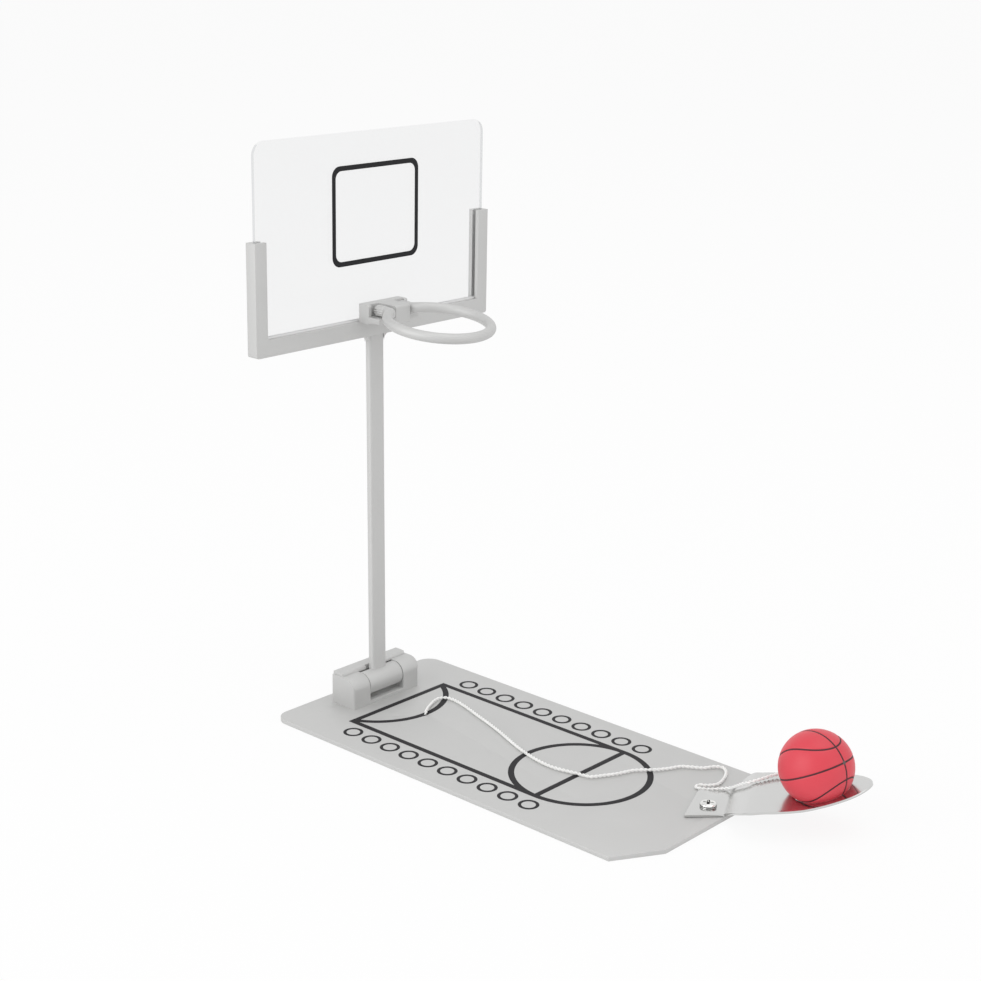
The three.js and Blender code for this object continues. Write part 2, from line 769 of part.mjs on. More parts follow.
// The ball with the blind hole that the string's end is fixed in
function ball() {
  const centre = ballPlace().applyMatrix4(launcherToPart());
  const last = new THREE.Vector3(...stringRoute[stringRoute.length - 1]);
  const inward = centre.clone().sub(last).normalize();
  const sphere = new THREE.SphereGeometry(ballRadius, roundSteps, roundSteps / 2);
  const reach = ballHoleDepth + overrun;
  const drill = new THREE.CylinderGeometry(ballHoleRadius, ballHoleRadius, reach, arcSteps * 2);
  const turn = new THREE.Quaternion().setFromUnitVectors(new THREE.Vector3(0, 1, 0), inward);
  drill.applyQuaternion(turn);
  const place = inward.clone().multiplyScalar(-ballRadius + (ballHoleDepth - overrun) / 2);
  drill.translate(place.x, place.y, place.z);
  return { centre, solid: toSolid(sphere).subtract(toSolid(drill)), inward };
}

// String and its knot under the plate

function string(ballCentre, inward) {
  const route = stringRoute.map(([x, y, z]) => new THREE.Vector3(x, y, z));
  const mouth = ballCentre.clone().addScaledVector(inward, -ballRadius);
  route.push(mouth.clone().addScaledVector(inward, ballHoleRadius));
  const section = outline(ring(stringSides, (index) => {
    const angle = (2 * Math.PI * index) / stringSides;
    return [stringRadius * Math.cos(angle), stringRadius * Math.sin(angle)];
  }));
  const curve = new THREE.CatmullRomCurve3(route, false, 'centripetal');
  const options = { steps: stringSteps, bevelEnabled: false, extrudePath: curve };
  return toSolid(new THREE.ExtrudeGeometry(section, options));
}

function plateKnot() {
  const geometry = new THREE.SphereGeometry(1, arcSteps * 2, arcSteps);
  geometry.scale(knotRadius, knotRadius, knotHeight / 2);
  return geometry.translate(stringHoleX, stringHoleY, knotHeight / 2);
}

// Assembly

const game = new THREE.Group();
game.name = 'tabletop_basketball_game';

addMesh(game, 'base_plate', toGeometry(basePlate()), satin());
addMesh(game, 'hinge_block', toGeometry(hingeBlock()), satin());
addMesh(game, 'block_screw_near', toGeometry(blockScrew(-1)), bright());
addMesh(game, 'block_screw_far', toGeometry(blockScrew(1)), bright());
addMesh(game, 'hinge_pin', toGeometry(hingePin()), bright());

const stand = new THREE.Group();
game.add(stand);
addMesh(stand, 'pole', toGeometry(pole()), satin());
addMesh(stand, 'board_frame', toGeometry(boardFrame()), satin());
addMesh(stand, 'backboard', toGeometry(backboard()), new THREE.MeshStandardMaterial({
  color: '#f2f3f4',
  roughness: 0.08,
  metalness: 0,
  transparent: true,
  opacity: 0.3,
}));
addMesh(stand, 'hoop_bracket', toGeometry(hoopBracket()), satin());
addMesh(stand, 'hoop_pin', toGeometry(hoopPin()), bright());
addMesh(stand, 'hoop_ring', toGeometry(hoopRing()), satin());

const launcher = new THREE.Group();
launcher.position.set(launcherX, launcherY, plateThick);
launcher.rotation.z = launcherYawDegrees * degrees;
game.add(launcher);
addMesh(launcher, 'launcher_foot', toGeometry(launcherFoot()), bright());
addMesh(launcher, 'launcher_blade', toGeometry(launcherBlade()), bright());
addMesh(launcher, 'launcher_screw', toGeometry(launcherScrew()), bright());

const tethered = ball();
const ballMesh = addMesh(game, 'ball', toGeometry(tethered.solid), new THREE.MeshStandardMaterial({
  color: '#e4455a',
  roughness: 0.5,
  metalness: 0,
}));
ballMesh.position.copy(tethered.centre);

const cotton = { color: '#efede6', roughness: 0.9, metalness: 0 };
addMesh(
  game,
  'string',
  toGeometry(string(tethered.centre, tethered.inward)),
  new THREE.MeshStandardMaterial(cotton),
);
addMesh(game, 'plate_knot', plateKnot(), new THREE.MeshStandardMaterial(cotton));

export default game;
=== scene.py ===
"""Looks of the tabletop basketball game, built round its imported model.

Every length is in metres and every piece lies in the model's own frame: +X runs from
the hoop stand to the launcher, +Y to the far side and +Z up.
"""

from __future__ import annotations

import logging
from collections.abc import Callable, Sequence
from dataclasses import dataclass
from enum import Enum
from math import acos, asin, cos, pi, radians, sin, sqrt
from typing import Any

import bmesh
import bpy
import numpy as np
from mathutils import Matrix, Vector


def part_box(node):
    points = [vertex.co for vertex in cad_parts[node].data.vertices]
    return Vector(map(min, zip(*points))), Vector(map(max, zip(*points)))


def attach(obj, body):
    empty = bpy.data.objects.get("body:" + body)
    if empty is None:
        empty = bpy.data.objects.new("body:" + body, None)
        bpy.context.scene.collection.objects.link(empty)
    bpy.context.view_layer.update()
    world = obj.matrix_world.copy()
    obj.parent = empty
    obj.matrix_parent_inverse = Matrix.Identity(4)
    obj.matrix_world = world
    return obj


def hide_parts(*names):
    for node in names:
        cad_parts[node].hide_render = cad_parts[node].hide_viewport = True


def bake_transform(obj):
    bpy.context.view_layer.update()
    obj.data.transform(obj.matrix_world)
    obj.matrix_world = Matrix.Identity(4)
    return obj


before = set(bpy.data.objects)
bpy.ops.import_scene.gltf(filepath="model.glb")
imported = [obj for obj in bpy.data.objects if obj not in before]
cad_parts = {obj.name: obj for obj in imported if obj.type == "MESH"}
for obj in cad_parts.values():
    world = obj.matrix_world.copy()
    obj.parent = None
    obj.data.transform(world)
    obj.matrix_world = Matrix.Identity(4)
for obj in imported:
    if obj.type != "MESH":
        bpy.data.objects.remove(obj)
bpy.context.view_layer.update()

MM = 0.001
FULL_TURN = 2 * pi
QUARTER_TURN = 0.5 * pi
# How far a corner may lie off a limit and still count as on it.
SLACK = 0.01 * MM

log = logging.getLogger("basketball_game")

Piece = bpy.types.Object
Shape = bmesh.types.BMesh
Tree = bpy.types.NodeTree
Point2 = tuple[float, float]
Point3 = tuple[float, float, float]
Place = Callable[[float, float, float], Vector]


class Body(Enum):
    """The bodies that pieces ride on."""

    BASE = "base"
    STAND = "stand"
    HOOP = "hoop"
    LAUNCHER = "launcher"
    BALL = "ball"


class Slot(Enum):
    """The record's material slots."""

    SATIN_METAL = "satin_metal"
    SCREW_STEEL = "screw_steel"
    POLISHED_STEEL = "polished_steel"
    CHROMED_SCREW = "chromed_screw"
    CLEAR_ACRYLIC = "clear_acrylic"
    BALL_RUBBER = "ball_rubber"
    COTTON = "cotton"


# Materials


def linear(hex_colour: str) -> tuple[float, float, float, float]:
    """Turns an sRGB hex colour to linear light.

    Args:
        hex_colour: six hex digits after a hash sign.

    Returns:
        Red, green, blue and an alpha of 1.
    """
    parts = [int(hex_colour[i : i + 2], 16) / 255 for i in (1, 3, 5)]
    light = [c / 12.92 if c <= 0.04045 else ((c + 0.055) / 1.055) ** 2.4 for c in parts]
    return (light[0], light[1], light[2], 1.0)


def add_node(
    tree: Tree,
    kind: str,
    values: dict[str | int, Any] | None = None,
    links: dict[str | int, bpy.types.NodeSocket] | None = None,
    **properties: Any,
) -> bpy.types.Node:
    """Adds one shader node with its settings and links.

    Args:
        tree: the node tree that it goes into.
        kind: the node's type name.
        values: input name or number to the value set on that input.
        links: input name or number to the output that feeds it.
        **properties: settings of the node itself.

    Returns:
        The new node.
    """
    node = tree.nodes.new(kind)
    for key, value in properties.items():
        setattr(node, key, value)
    for key, value in (values or {}).items():
        node.inputs[key].default_value = value
    for key, output in (links or {}).items():
        tree.links.new(output, node.inputs[key])
    return node


def blank_material(name: str) -> tuple[bpy.types.Material, Tree]:
    """Makes a material whose node tree is empty.

    Args:
        name: the material's name.

    Returns:
        The material and its tree.
    """
    material = bpy.data.materials.new(name)
    material.use_nodes = True
    material.node_tree.nodes.clear()
    return material, material.node_tree


@dataclass(frozen=True)
class Finish:
    """A surface that one real material shows; grain, bump and drift are real sizes."""

    name: str
    colour: str
    shade: str
    roughness_low: float
    roughness_high: float
    grain: float
    bump: float
    metallic: float = 0.0
    drift: float = 18 * MM

    def settings(self) -> dict[str, Any]:
        """Gives the shader's settings that are the same all over."""
        return {"Metallic": self.metallic}

    def material(self) -> bpy.types.Material:
        """Makes the material with its grain, colour drift and relief, or finds it if made.

        Returns:
            The finish's one material.
        """
        if self.name in bpy.data.materials:
            return bpy.data.materials[self.name]
        material, tree = blank_material(self.name)
        where = add_node(tree, "ShaderNodeTexCoord").outputs["Object"]
        grain = add_node(
            tree,
            "ShaderNodeTexNoise",
            {"Scale": 1 / self.grain, "Detail": 3.0, "Roughness": 0.6},
            {"Vector": where},
        ).outputs["Fac"]
        drift = add_node(
            tree, "ShaderNodeTexNoise", {"Scale": 1 / self.drift, "Detail": 4.0}, {"Vector": where}
        ).outputs["Fac"]
        tints = {6: linear(self.colour), 7: linear(self.shade)}
        tint = add_node(tree, "ShaderNodeMix", tints, {0: drift}, data_type="RGBA")
        limits = {"To Min": self.roughness_low, "To Max": self.roughness_high}
        rough = add_node(tree, "ShaderNodeMapRange", limits, {"Value": grain})
        depth = {"Strength": 1.0, "Distance": self.bump}
        relief = add_node(tree, "ShaderNodeBump", depth, {"Height": grain})
        shader = add_node(
            tree,
            "ShaderNodeBsdfPrincipled",
            self.settings(),
            {
                "Base Color": tint.outputs[2],
                "Roughness": rough.outputs["Result"],
                "Normal": relief.outputs["Normal"],
            },
        )
        add_node(tree, "ShaderNodeOutputMaterial", links={"Surface": shader.outputs[0]})
        return material


@dataclass(frozen=True)
class ClearAcrylic(Finish):
    """Thin cast acrylic sheet, laser cut: it veils what lies behind it by a set share."""

    ior: float = 1.49
    cover: float = 0.085

    def settings(self) -> dict[str, Any]:
        """Gives the sheet's refraction and how much it veils."""
        return {"IOR": self.ior, "Alpha": self.cover}


@dataclass(frozen=True)
class PrintedInk(Finish):
    """Printed enamel ink: a thin matt film with hardly any gloss."""

    gloss: float = 0.12

    def settings(self) -> dict[str, Any]:
        """Gives the film's gloss."""
        return {"Specular IOR Level": self.gloss}


@dataclass(frozen=True)
class TwistedCotton(Finish):
    """Bleached cotton twine: soft, matt and a little fuzzy, with light glowing through it."""

    sheen: float = 0.3
    glow_through: float = 0.6
    glow_depth: float = 0.8 * MM

    def settings(self) -> dict[str, Any]:
        """Gives the twine's fuzz and glow.

        Returns:
            Input names and values.
        """
        return {
            "Sheen Weight": self.sheen,
            "Subsurface Weight": self.glow_through,
            "Subsurface Radius": (1.0, 1.0, 1.0),
            "Subsurface Scale": self.glow_depth,
        }


# The real flake, buffing lines and pebble are finer than a render shows, so each grain below is
# drawn as coarse as it needs to show.

# Zinc casting and steel sheet under one coat of silver lacquer: an even satin grey.
SILVER_LACQUER = Finish(
    "satin_silver_lacquer", "#cbcbca", "#c6c6c5", 0.5, 0.6, 0.35 * MM, 0.004 * MM, 0.4
)
# Cold-rolled spring steel, buffed: it shows the ball close by and blurs the room to an even grey.
POLISHED_SPRING_STEEL = Finish(
    "polished_spring_steel", "#d0d0cf", "#cccccb", 0.16, 0.21, 2.5 * MM, 0.001 * MM, 1.0
)
# Nickel-chromed screw steel: brighter than the lacquer, with hard small highlights.
BRIGHT_SCREW_STEEL = Finish(
    "chromed_screw_steel", "#e6e6e4", "#dededc", 0.06, 0.12, 1.2 * MM, 0.001 * MM, 1.0
)
# Painted shade on the screw: near black on the faces of the cross recess and on a thin band round the
# head's side, where shade falls.
SCREW_PAINTED_SHADE = Finish("screw_painted_shade", "#29292b", "#1f1f21", 0.5, 0.6, 0.3 * MM, 0.002 * MM, 0.5)
# Plain turned pins and hidden screws: dull steel.
PLAIN_STEEL = Finish("plain_turned_steel", "#b4b4b2", "#a8a8a6", 0.3, 0.42, 0.5 * MM, 0.003 * MM, 1.0)
# Pad-printed enamel ink on the plate: a dark, matt grey.
COURT_INK = PrintedInk("printed_court_ink", "#313032", "#2b2a2c", 0.5, 0.65, 0.4 * MM, 0.002 * MM)
# Screen-printed ink on the clear board: a little blacker.
BOARD_INK = PrintedInk("printed_board_ink", "#2b2b2d", "#252527", 0.45, 0.6, 0.4 * MM, 0.002 * MM)
# Moulded rubber: satin red with a fine pebble.
RED_RUBBER = Finish("moulded_red_rubber", "#df4754", "#db3e4c", 0.36, 0.5, 0.45 * MM, 0.02 * MM)
# Dark paint that fills the ball's grooves.
SEAM_PAINT = Finish("groove_paint", "#4a1a24", "#3a141c", 0.5, 0.65, 0.4 * MM, 0.003 * MM)
# Grey rubber plug of the ball's valve: matt.
VALVE_GREY = Finish("valve_grey", "#6d5a5a", "#5c4b4b", 0.5, 0.6, 0.3 * MM, 0.004 * MM)
# Cast acrylic: its faces lie as a faint grey veil over the white room.
CLEAR_SHEET = ClearAcrylic(
    "clear_cast_acrylic", "#bfc1c3", "#bdbfc1", 0.05, 0.08, 8 * MM, 0.0002 * MM
)
# The same sheet's laser-cut side edges: a thicker grey veil painted on them stands in for the
# refraction that greys clear edges.
EDGE_PAINTED_REFRACTION = ClearAcrylic(
    "acrylic_edge_painted_refraction", "#bfc1c3", "#b7b9bb", 0.15, 0.2, 3 * MM, 0.0005 * MM, cover=0.45
)
# Painted light: the strip of the sheet that sits in the rail is near-white and nearly opaque, standing
# in for the light that the clear sheet lets into the groove, so that the groove's shade doesn't show.
GROOVE_PAINTED_LIGHT = ClearAcrylic(
    "board_foot_painted_light", "#fafafa", "#f6f6f6", 0.2, 0.3, 2 * MM, 0.0005 * MM, cover=0.96
)
# Bleached cotton, two plies twisted: matt and nearly white.
WHITE_TWINE = TwistedCotton(
    "bleached_cotton_twine", "#fafaf8", "#f1f1ee", 0.85, 0.95, 0.12 * MM, 0.03 * MM
)


# Mesh helpers


def linked(name: str, data: bpy.types.ID) -> Piece:
    """Puts new data in the scene as an object.

    Args:
        name: the object's name.
        data: its mesh, camera or light.

    Returns:
        The object.
    """
    item = bpy.data.objects.new(name, data)
    bpy.context.scene.collection.objects.link(item)
    return item


def new_piece(name: str, shape: Shape, smooth_below: float = 0.0) -> Piece:
    """Makes a scene object from a mesh under construction, and frees it.

    Args:
        name: the piece's name.
        shape: the finished mesh.
        smooth_below: edges under this angle, in degrees, are shaded smooth.

    Returns:
        The linked object.
    """
    bmesh.ops.recalc_face_normals(shape, faces=shape.faces)
    mesh = bpy.data.meshes.new(name)
    shape.to_mesh(mesh)
    shape.free()
    piece = linked(name, mesh)
    return smooth(piece, smooth_below) if smooth_below else piece


def smooth(piece: Piece, angle: float) -> Piece:
    """Shades a piece smooth, with its edges sharper than the angle kept.

    Args:
        piece: the mesh object.
        angle: the sharpest angle that is still shaded smooth, in degrees.

    Returns:
        The same object.
    """
    piece.data.shade_smooth()
    piece.data.set_sharp_from_angle(angle=radians(angle))
    return piece


def dress(
    piece: Piece,
    finish: Finish,
    body: Body | None,
    replaced: Sequence[str] = (),
) -> None:
    """Gives a piece its material and body.

    Args:
        piece: the mesh object.
        finish: the finish that covers it.
        body: the body that it rides on, or None.
        replaced: the model's nodes that it stands for.
    """
    piece.data.materials.clear()
    piece.data.materials.append(finish.material())
    if body is not None:
        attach(piece, body.value)
    if replaced:
        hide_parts(*replaced)
    log.info("%s: %d faces", piece.name, len(piece.data.polygons))


def softened(
    node: str,
    name: str,
    radius: float,
    segments: int = 3,
    trim: Callable[[Vector], Vector] | None = None,
) -> Piece:
    """Copies a node's solid and rounds its sharp edges.

    Args:
        node: the model's node.
        name: the new piece's name.
        radius: how far each rounding reaches from its edge.
        segments: facets across a rounding.
        trim: moves a corner of the copy before the rounding, where the copy is finer.

    Returns:
        The rounded copy.
    """
    weld, flat, sharp = 0.001 * MM, radians(0.4), radians(32)
    shape = bmesh.new()
    shape.from_mesh(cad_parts[node].data)
    for vert in shape.verts if trim else ():
        vert.co = trim(vert.co)
    bmesh.ops.remove_doubles(shape, verts=shape.verts, dist=weld)
    bmesh.ops.dissolve_limit(shape, angle_limit=flat, verts=shape.verts, edges=shape.edges)
    bmesh.ops.bevel(
        shape,
        geom=[e for e in shape.edges if len(e.link_faces) == 2 and e.calc_face_angle(0.0) > sharp],
        offset=radius,
        offset_type="OFFSET",
        segments=segments,
        profile=0.5,
        affect="EDGES",
        clamp_overlap=True,
    )
    return new_piece(name, shape, smooth_below=30.0)


def applied(piece: Piece) -> Piece:
    """Replaces a piece's mesh with what its modifiers make of it.

    Args:
        piece: the object with modifiers.

    Returns:
        The same object with none.
    """
    graph = bpy.context.evaluated_depsgraph_get()
    mesh = bpy.data.meshes.new_from_object(piece.evaluated_get(graph))
    piece.modifiers.clear()
    piece.data = mesh
    return piece


def sliced(shape: Shape, place: Point3, normal: Point3) -> None:
    """Cuts a mesh's faces along a plane, and keeps both sides.

    Args:
        shape: the mesh under construction.
        place: a point of the plane.
        normal: the plane's direction.
    """
    everything = [*shape.verts, *shape.edges, *shape.faces]
    bmesh.ops.bisect_plane(shape, geom=everything, plane_co=place, plane_no=normal)


def skin(shape: Shape, rows: Sequence[list[bmesh.types.BMVert]], closed: bool = False) -> None:
    """Spans faces from each loop of corners to the next.

    Args:
        shape: the mesh that holds the corners.
        rows: the loops, all with as many corners.
        closed: whether the last loop meets the first; otherwise both are capped.
    """
    width = len(rows[0])
    for i in range(len(rows) if closed else len(rows) - 1):
        here, after = rows[i], rows[(i + 1) % len(rows)]
        for k in range(width):
            shape.faces.new([here[k], here[(k + 1) % width], after[(k + 1) % width], after[k]])
    if not closed:
        shape.faces.new(rows[0][::-1])
        shape.faces.new(rows[-1])


def ball_centre() -> Vector:
    """Gives the ball's centre, from its node's box."""
    low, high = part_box("ball")
    return (low + high) / 2


def circle(radius: float, steps: int, centre: Point2 = (0.0, 0.0)) -> list[Point2]:
    """Gives the points of a circle, anticlockwise."""
    return arc(centre, radius, 0.0, FULL_TURN, steps)[:-1]


def arc(centre: Point2, radius: float, start: float, end: float, steps: int) -> list[Point2]:
    """Gives the points of an arc.

    Args:
        centre: the arc's centre.
        radius: its radius.
        start: its first angle, in radians.
        end: its last angle, in radians.
        steps: how many chords it has.

    Returns:
        The points, first to last.
    """
    turns = [start + (end - start) * i / steps for i in range(steps + 1)]
    return [(centre[0] + radius * cos(t), centre[1] + radius * sin(t)) for t in turns]


def rounded_loop(low: Point2, high: Point2, radius: float, steps: int = 8) -> list[Point2]:
    """Gives the outline of a rectangle with rounded corners.

    Args:
        low: its lower corner.
        high: its upper corner.
        radius: the corners' radius.
        steps: chords in a corner.

    Returns:
        The points, anticlockwise.
    """
    left, right = low[0] + radius, high[0] - radius
    bottom, top = low[1] + radius, high[1] - radius
    corners = ((right, bottom), (right, top), (left, top), (left, bottom))
    points: list[Point2] = []
    for quarter, centre in enumerate(corners, -1):
        start = quarter * QUARTER_TURN
        points += arc(centre, radius, start, start + QUARTER_TURN, steps)
    return points


def film(
    shape: Shape,
    left: Sequence[Point2],
    right: Sequence[Point2],
    closed: bool,
    place: Place,
    thick: float,
) -> None:
    """Adds a thin printed band between two lines, as one closed solid.

    Args:
        shape: the mesh that it is added to.
        left: one edge of the band.
        right: the other edge, with as many points.
        closed: whether the band runs round to its start.
        place: turns a point and a height over the surface to a place in the frame.
        thick: the film's thickness.
    """
    rows = []
    for one, other in zip(left, right):
        corners = (place(*one, thick), place(*other, thick), place(*other, 0.0), place(*one, 0.0))
        rows.append([shape.verts.new(corner) for corner in corners])
    skin(shape, rows, closed)


def catmull_rom(points: Sequence[Vector], spacing: float, power: float = 0.5) -> list[Vector]:
    """Gives a smooth line through points, at even steps.

    Args:
        points: the points to pass through.
        spacing: the distance between the line's own points.
        power: the knots' exponent, 0.5 for the centripetal kind.

    Returns:
        The line's points, from the first point to the last.
    """
    least_steps, finer, tiny = 4, 3, 1e-9
    ends = [points[0] * 2 - points[1], *points, points[-1] * 2 - points[-2]]
    dense: list[Vector] = []
    for i in range(1, len(ends) - 2):
        quad = ends[i - 1 : i + 3]
        knots = [0.0]
        for a, b in zip(quad, quad[1:]):
            knots.append(knots[-1] + max((b - a).length, tiny) ** power)
        steps = max(least_steps, int((quad[2] - quad[1]).length / spacing) * finer)
        for step in range(steps):
            t = knots[1] + (knots[2] - knots[1]) * step / steps
            level = list(quad)
            for depth in range(1, 4):
                level = [
                    level[j].lerp(level[j + 1], (t - knots[j]) / (knots[j + depth] - knots[j]))
                    for j in range(4 - depth)
                ]
            dense.append(level[0])
    dense.append(points[-1].copy())
    return resampled(dense, spacing)


def resampled(line: Sequence[Vector], spacing: float) -> list[Vector]:
    """Spaces a line's points evenly.

    Args:
        line: the line's points.
        spacing: about how far apart they are to lie.

    Returns:
        The evenly spaced points, with both ends kept.
    """
    table = np.array([tuple(p) for p in line])
    along = np.concatenate([[0.0], np.cumsum(np.linalg.norm(np.diff(table, axis=0), axis=1))])
    count = max(2, round(along[-1] / spacing) + 1)
    marks = np.linspace(0.0, along[-1], count)
    return [Vector([float(np.interp(m, along, table[:, k])) for k in range(3)]) for m in marks]


def eased(before: Point2, corner: Point2, after: Point2, reach: float, steps: int = 6) -> list[Point2]:
    """Rounds off one corner of an outline.

    Args:
        before: the outline's point before the corner.
        corner: the corner itself.
        after: the point after it.
        reach: how far from the corner the rounding starts and ends.
        steps: its chords.

    Returns:
        The rounding's points.
    """
    middle = Vector(corner)
    start = middle + (Vector(before) - middle).normalized() * reach
    end = middle + (Vector(after) - middle).normalized() * reach
    shares = [i / steps for i in range(steps + 1)]
    return [tuple(start.lerp(middle, t).lerp(middle.lerp(end, t), t)) for t in shares]


def line_length(line: Sequence[Vector]) -> float:
    """Adds up the distances along a line."""
    return sum((b - a).length for a, b in zip(line, line[1:]))


def swept(name: str, line: Sequence[Vector], section: Callable[[float], Sequence[Point2]]) -> Piece:
    """Sweeps a section along a line with as little twist as it can.

    Args:
        name: the piece's name.
        line: the centre line's points.
        section: gives the section's points at a distance along the line.

    Returns:
        The swept solid, closed at its ends.
    """
    shape = bmesh.new()
    neighbours = zip([line[0], *line], [*line[1:], line[-1]])
    tangents = [(after - before).normalized() for before, after in neighbours]
    side = tangents[0].orthogonal().normalized()
    rows = []
    along = 0.0
    for i, (point, tangent) in enumerate(zip(line, tangents)):
        if i:
            along += (point - line[i - 1]).length
            side = (side - tangent * side.dot(tangent)).normalized()
        up = tangent.cross(side)
        rows.append([shape.verts.new(point + side * a + up * b) for a, b in section(along)])
    skin(shape, rows)
    return new_piece(name, shape, smooth_below=60.0)


# The object


@dataclass
class CourtPlate:
    """The flat plate with its rounded and chamfered corners and the printed court."""

    top: float = 1.6 * MM
    edge_round: float = 0.25 * MM
    ink: float = 0.02 * MM
    hair: float = 0.001 * MM
    line: float = 2.25 * MM
    key_rear: float = -61.64 * MM
    key_half: float = 24.86 * MM
    circle_x: float = 29.42 * MM
    arc_x: float = -73.2 * MM
    arc_radius: float = 26.4 * MM
    arc_steps: int = 48
    circle_steps: int = 128
    mark_radius: float = 3.74 * MM
    mark_line: float = 1.2 * MM
    mark_first: float = -54.33 * MM
    mark_pitch: float = 9.63 * MM
    mark_count: int = 10
    mark_y: float = 31.66 * MM
    mark_steps: int = 48

    def on_top(self, a: float, b: float, height: float) -> Vector:
        """Places a point of the court on the plate's top."""
        return Vector((a, b, self.top + height))

    def bar(self, shape: Shape, start: Point2, end: Point2, lift: float) -> None:
        """Adds a straight court line.

        Args:
            shape: the mesh that it is added to.
            start: one end of its centre line.
            end: the other end.
            lift: a hair that keeps crossing lines apart.
        """
        ends = (Vector(start), Vector(end))
        run = (ends[1] - ends[0]).normalized()
        side = Vector((-run.y, run.x)) * (self.line / 2)
        left = [tuple(point + side) for point in ends]
        right = [tuple(point - side) for point in ends]
        film(shape, left, right, False, self.on_top, self.ink + lift)

    def court(self) -> Piece:
        """Builds the key, its arc and the circle with its diameter line.

        Returns:
            All the lines as one piece.
        """
        shape = bmesh.new()
        half, rear, middle, side = self.line / 2, self.key_rear, self.circle_x, self.key_half
        for layer, start, end in (
            (0, (rear, -side - half), (rear, side + half)),
            (1, (rear, side), (middle, side)),
            (1, (rear, -side), (middle, -side)),
            (2, (middle, -side), (middle, side)),
        ):
            self.bar(shape, start, end, layer * self.hair)
        centre, radius = (self.arc_x, 0.0), self.arc_radius
        spread = acos((rear - self.arc_x) / radius)
        edges = [arc(centre, radius + out, -spread, spread, self.arc_steps) for out in (half, -half)]
        film(shape, *edges, False, self.on_top, self.ink + 3 * self.hair)
        edges = [circle(side + out, self.circle_steps, (middle, 0.0)) for out in (half, -half)]
        film(shape, *edges, True, self.on_top, self.ink + 4 * self.hair)
        return new_piece("court_lines", shape)

    def marks(self) -> Piece:
        """Builds the rows of small rings that count the score.

        Returns:
            The rings as one piece.
        """
        shape = bmesh.new()
        radii = (self.mark_radius, self.mark_radius - self.mark_line)
        for side in (-1, 1):
            for i in range(self.mark_count):
                centre = (self.mark_first + i * self.mark_pitch, side * self.mark_y)
                edges = [circle(radius, self.mark_steps, centre) for radius in radii]
                film(shape, *edges, True, self.on_top, self.ink)
        return new_piece("score_marks", shape)

    def build(self) -> None:
        """Builds and dresses the plate and its print."""
        plate = softened("base_plate", "court_plate", self.edge_round)
        dress(plate, SILVER_LACQUER, Body.BASE, ["base_plate"])
        for print_piece in (self.court(), self.marks()):
            dress(print_piece, COURT_INK, Body.BASE)


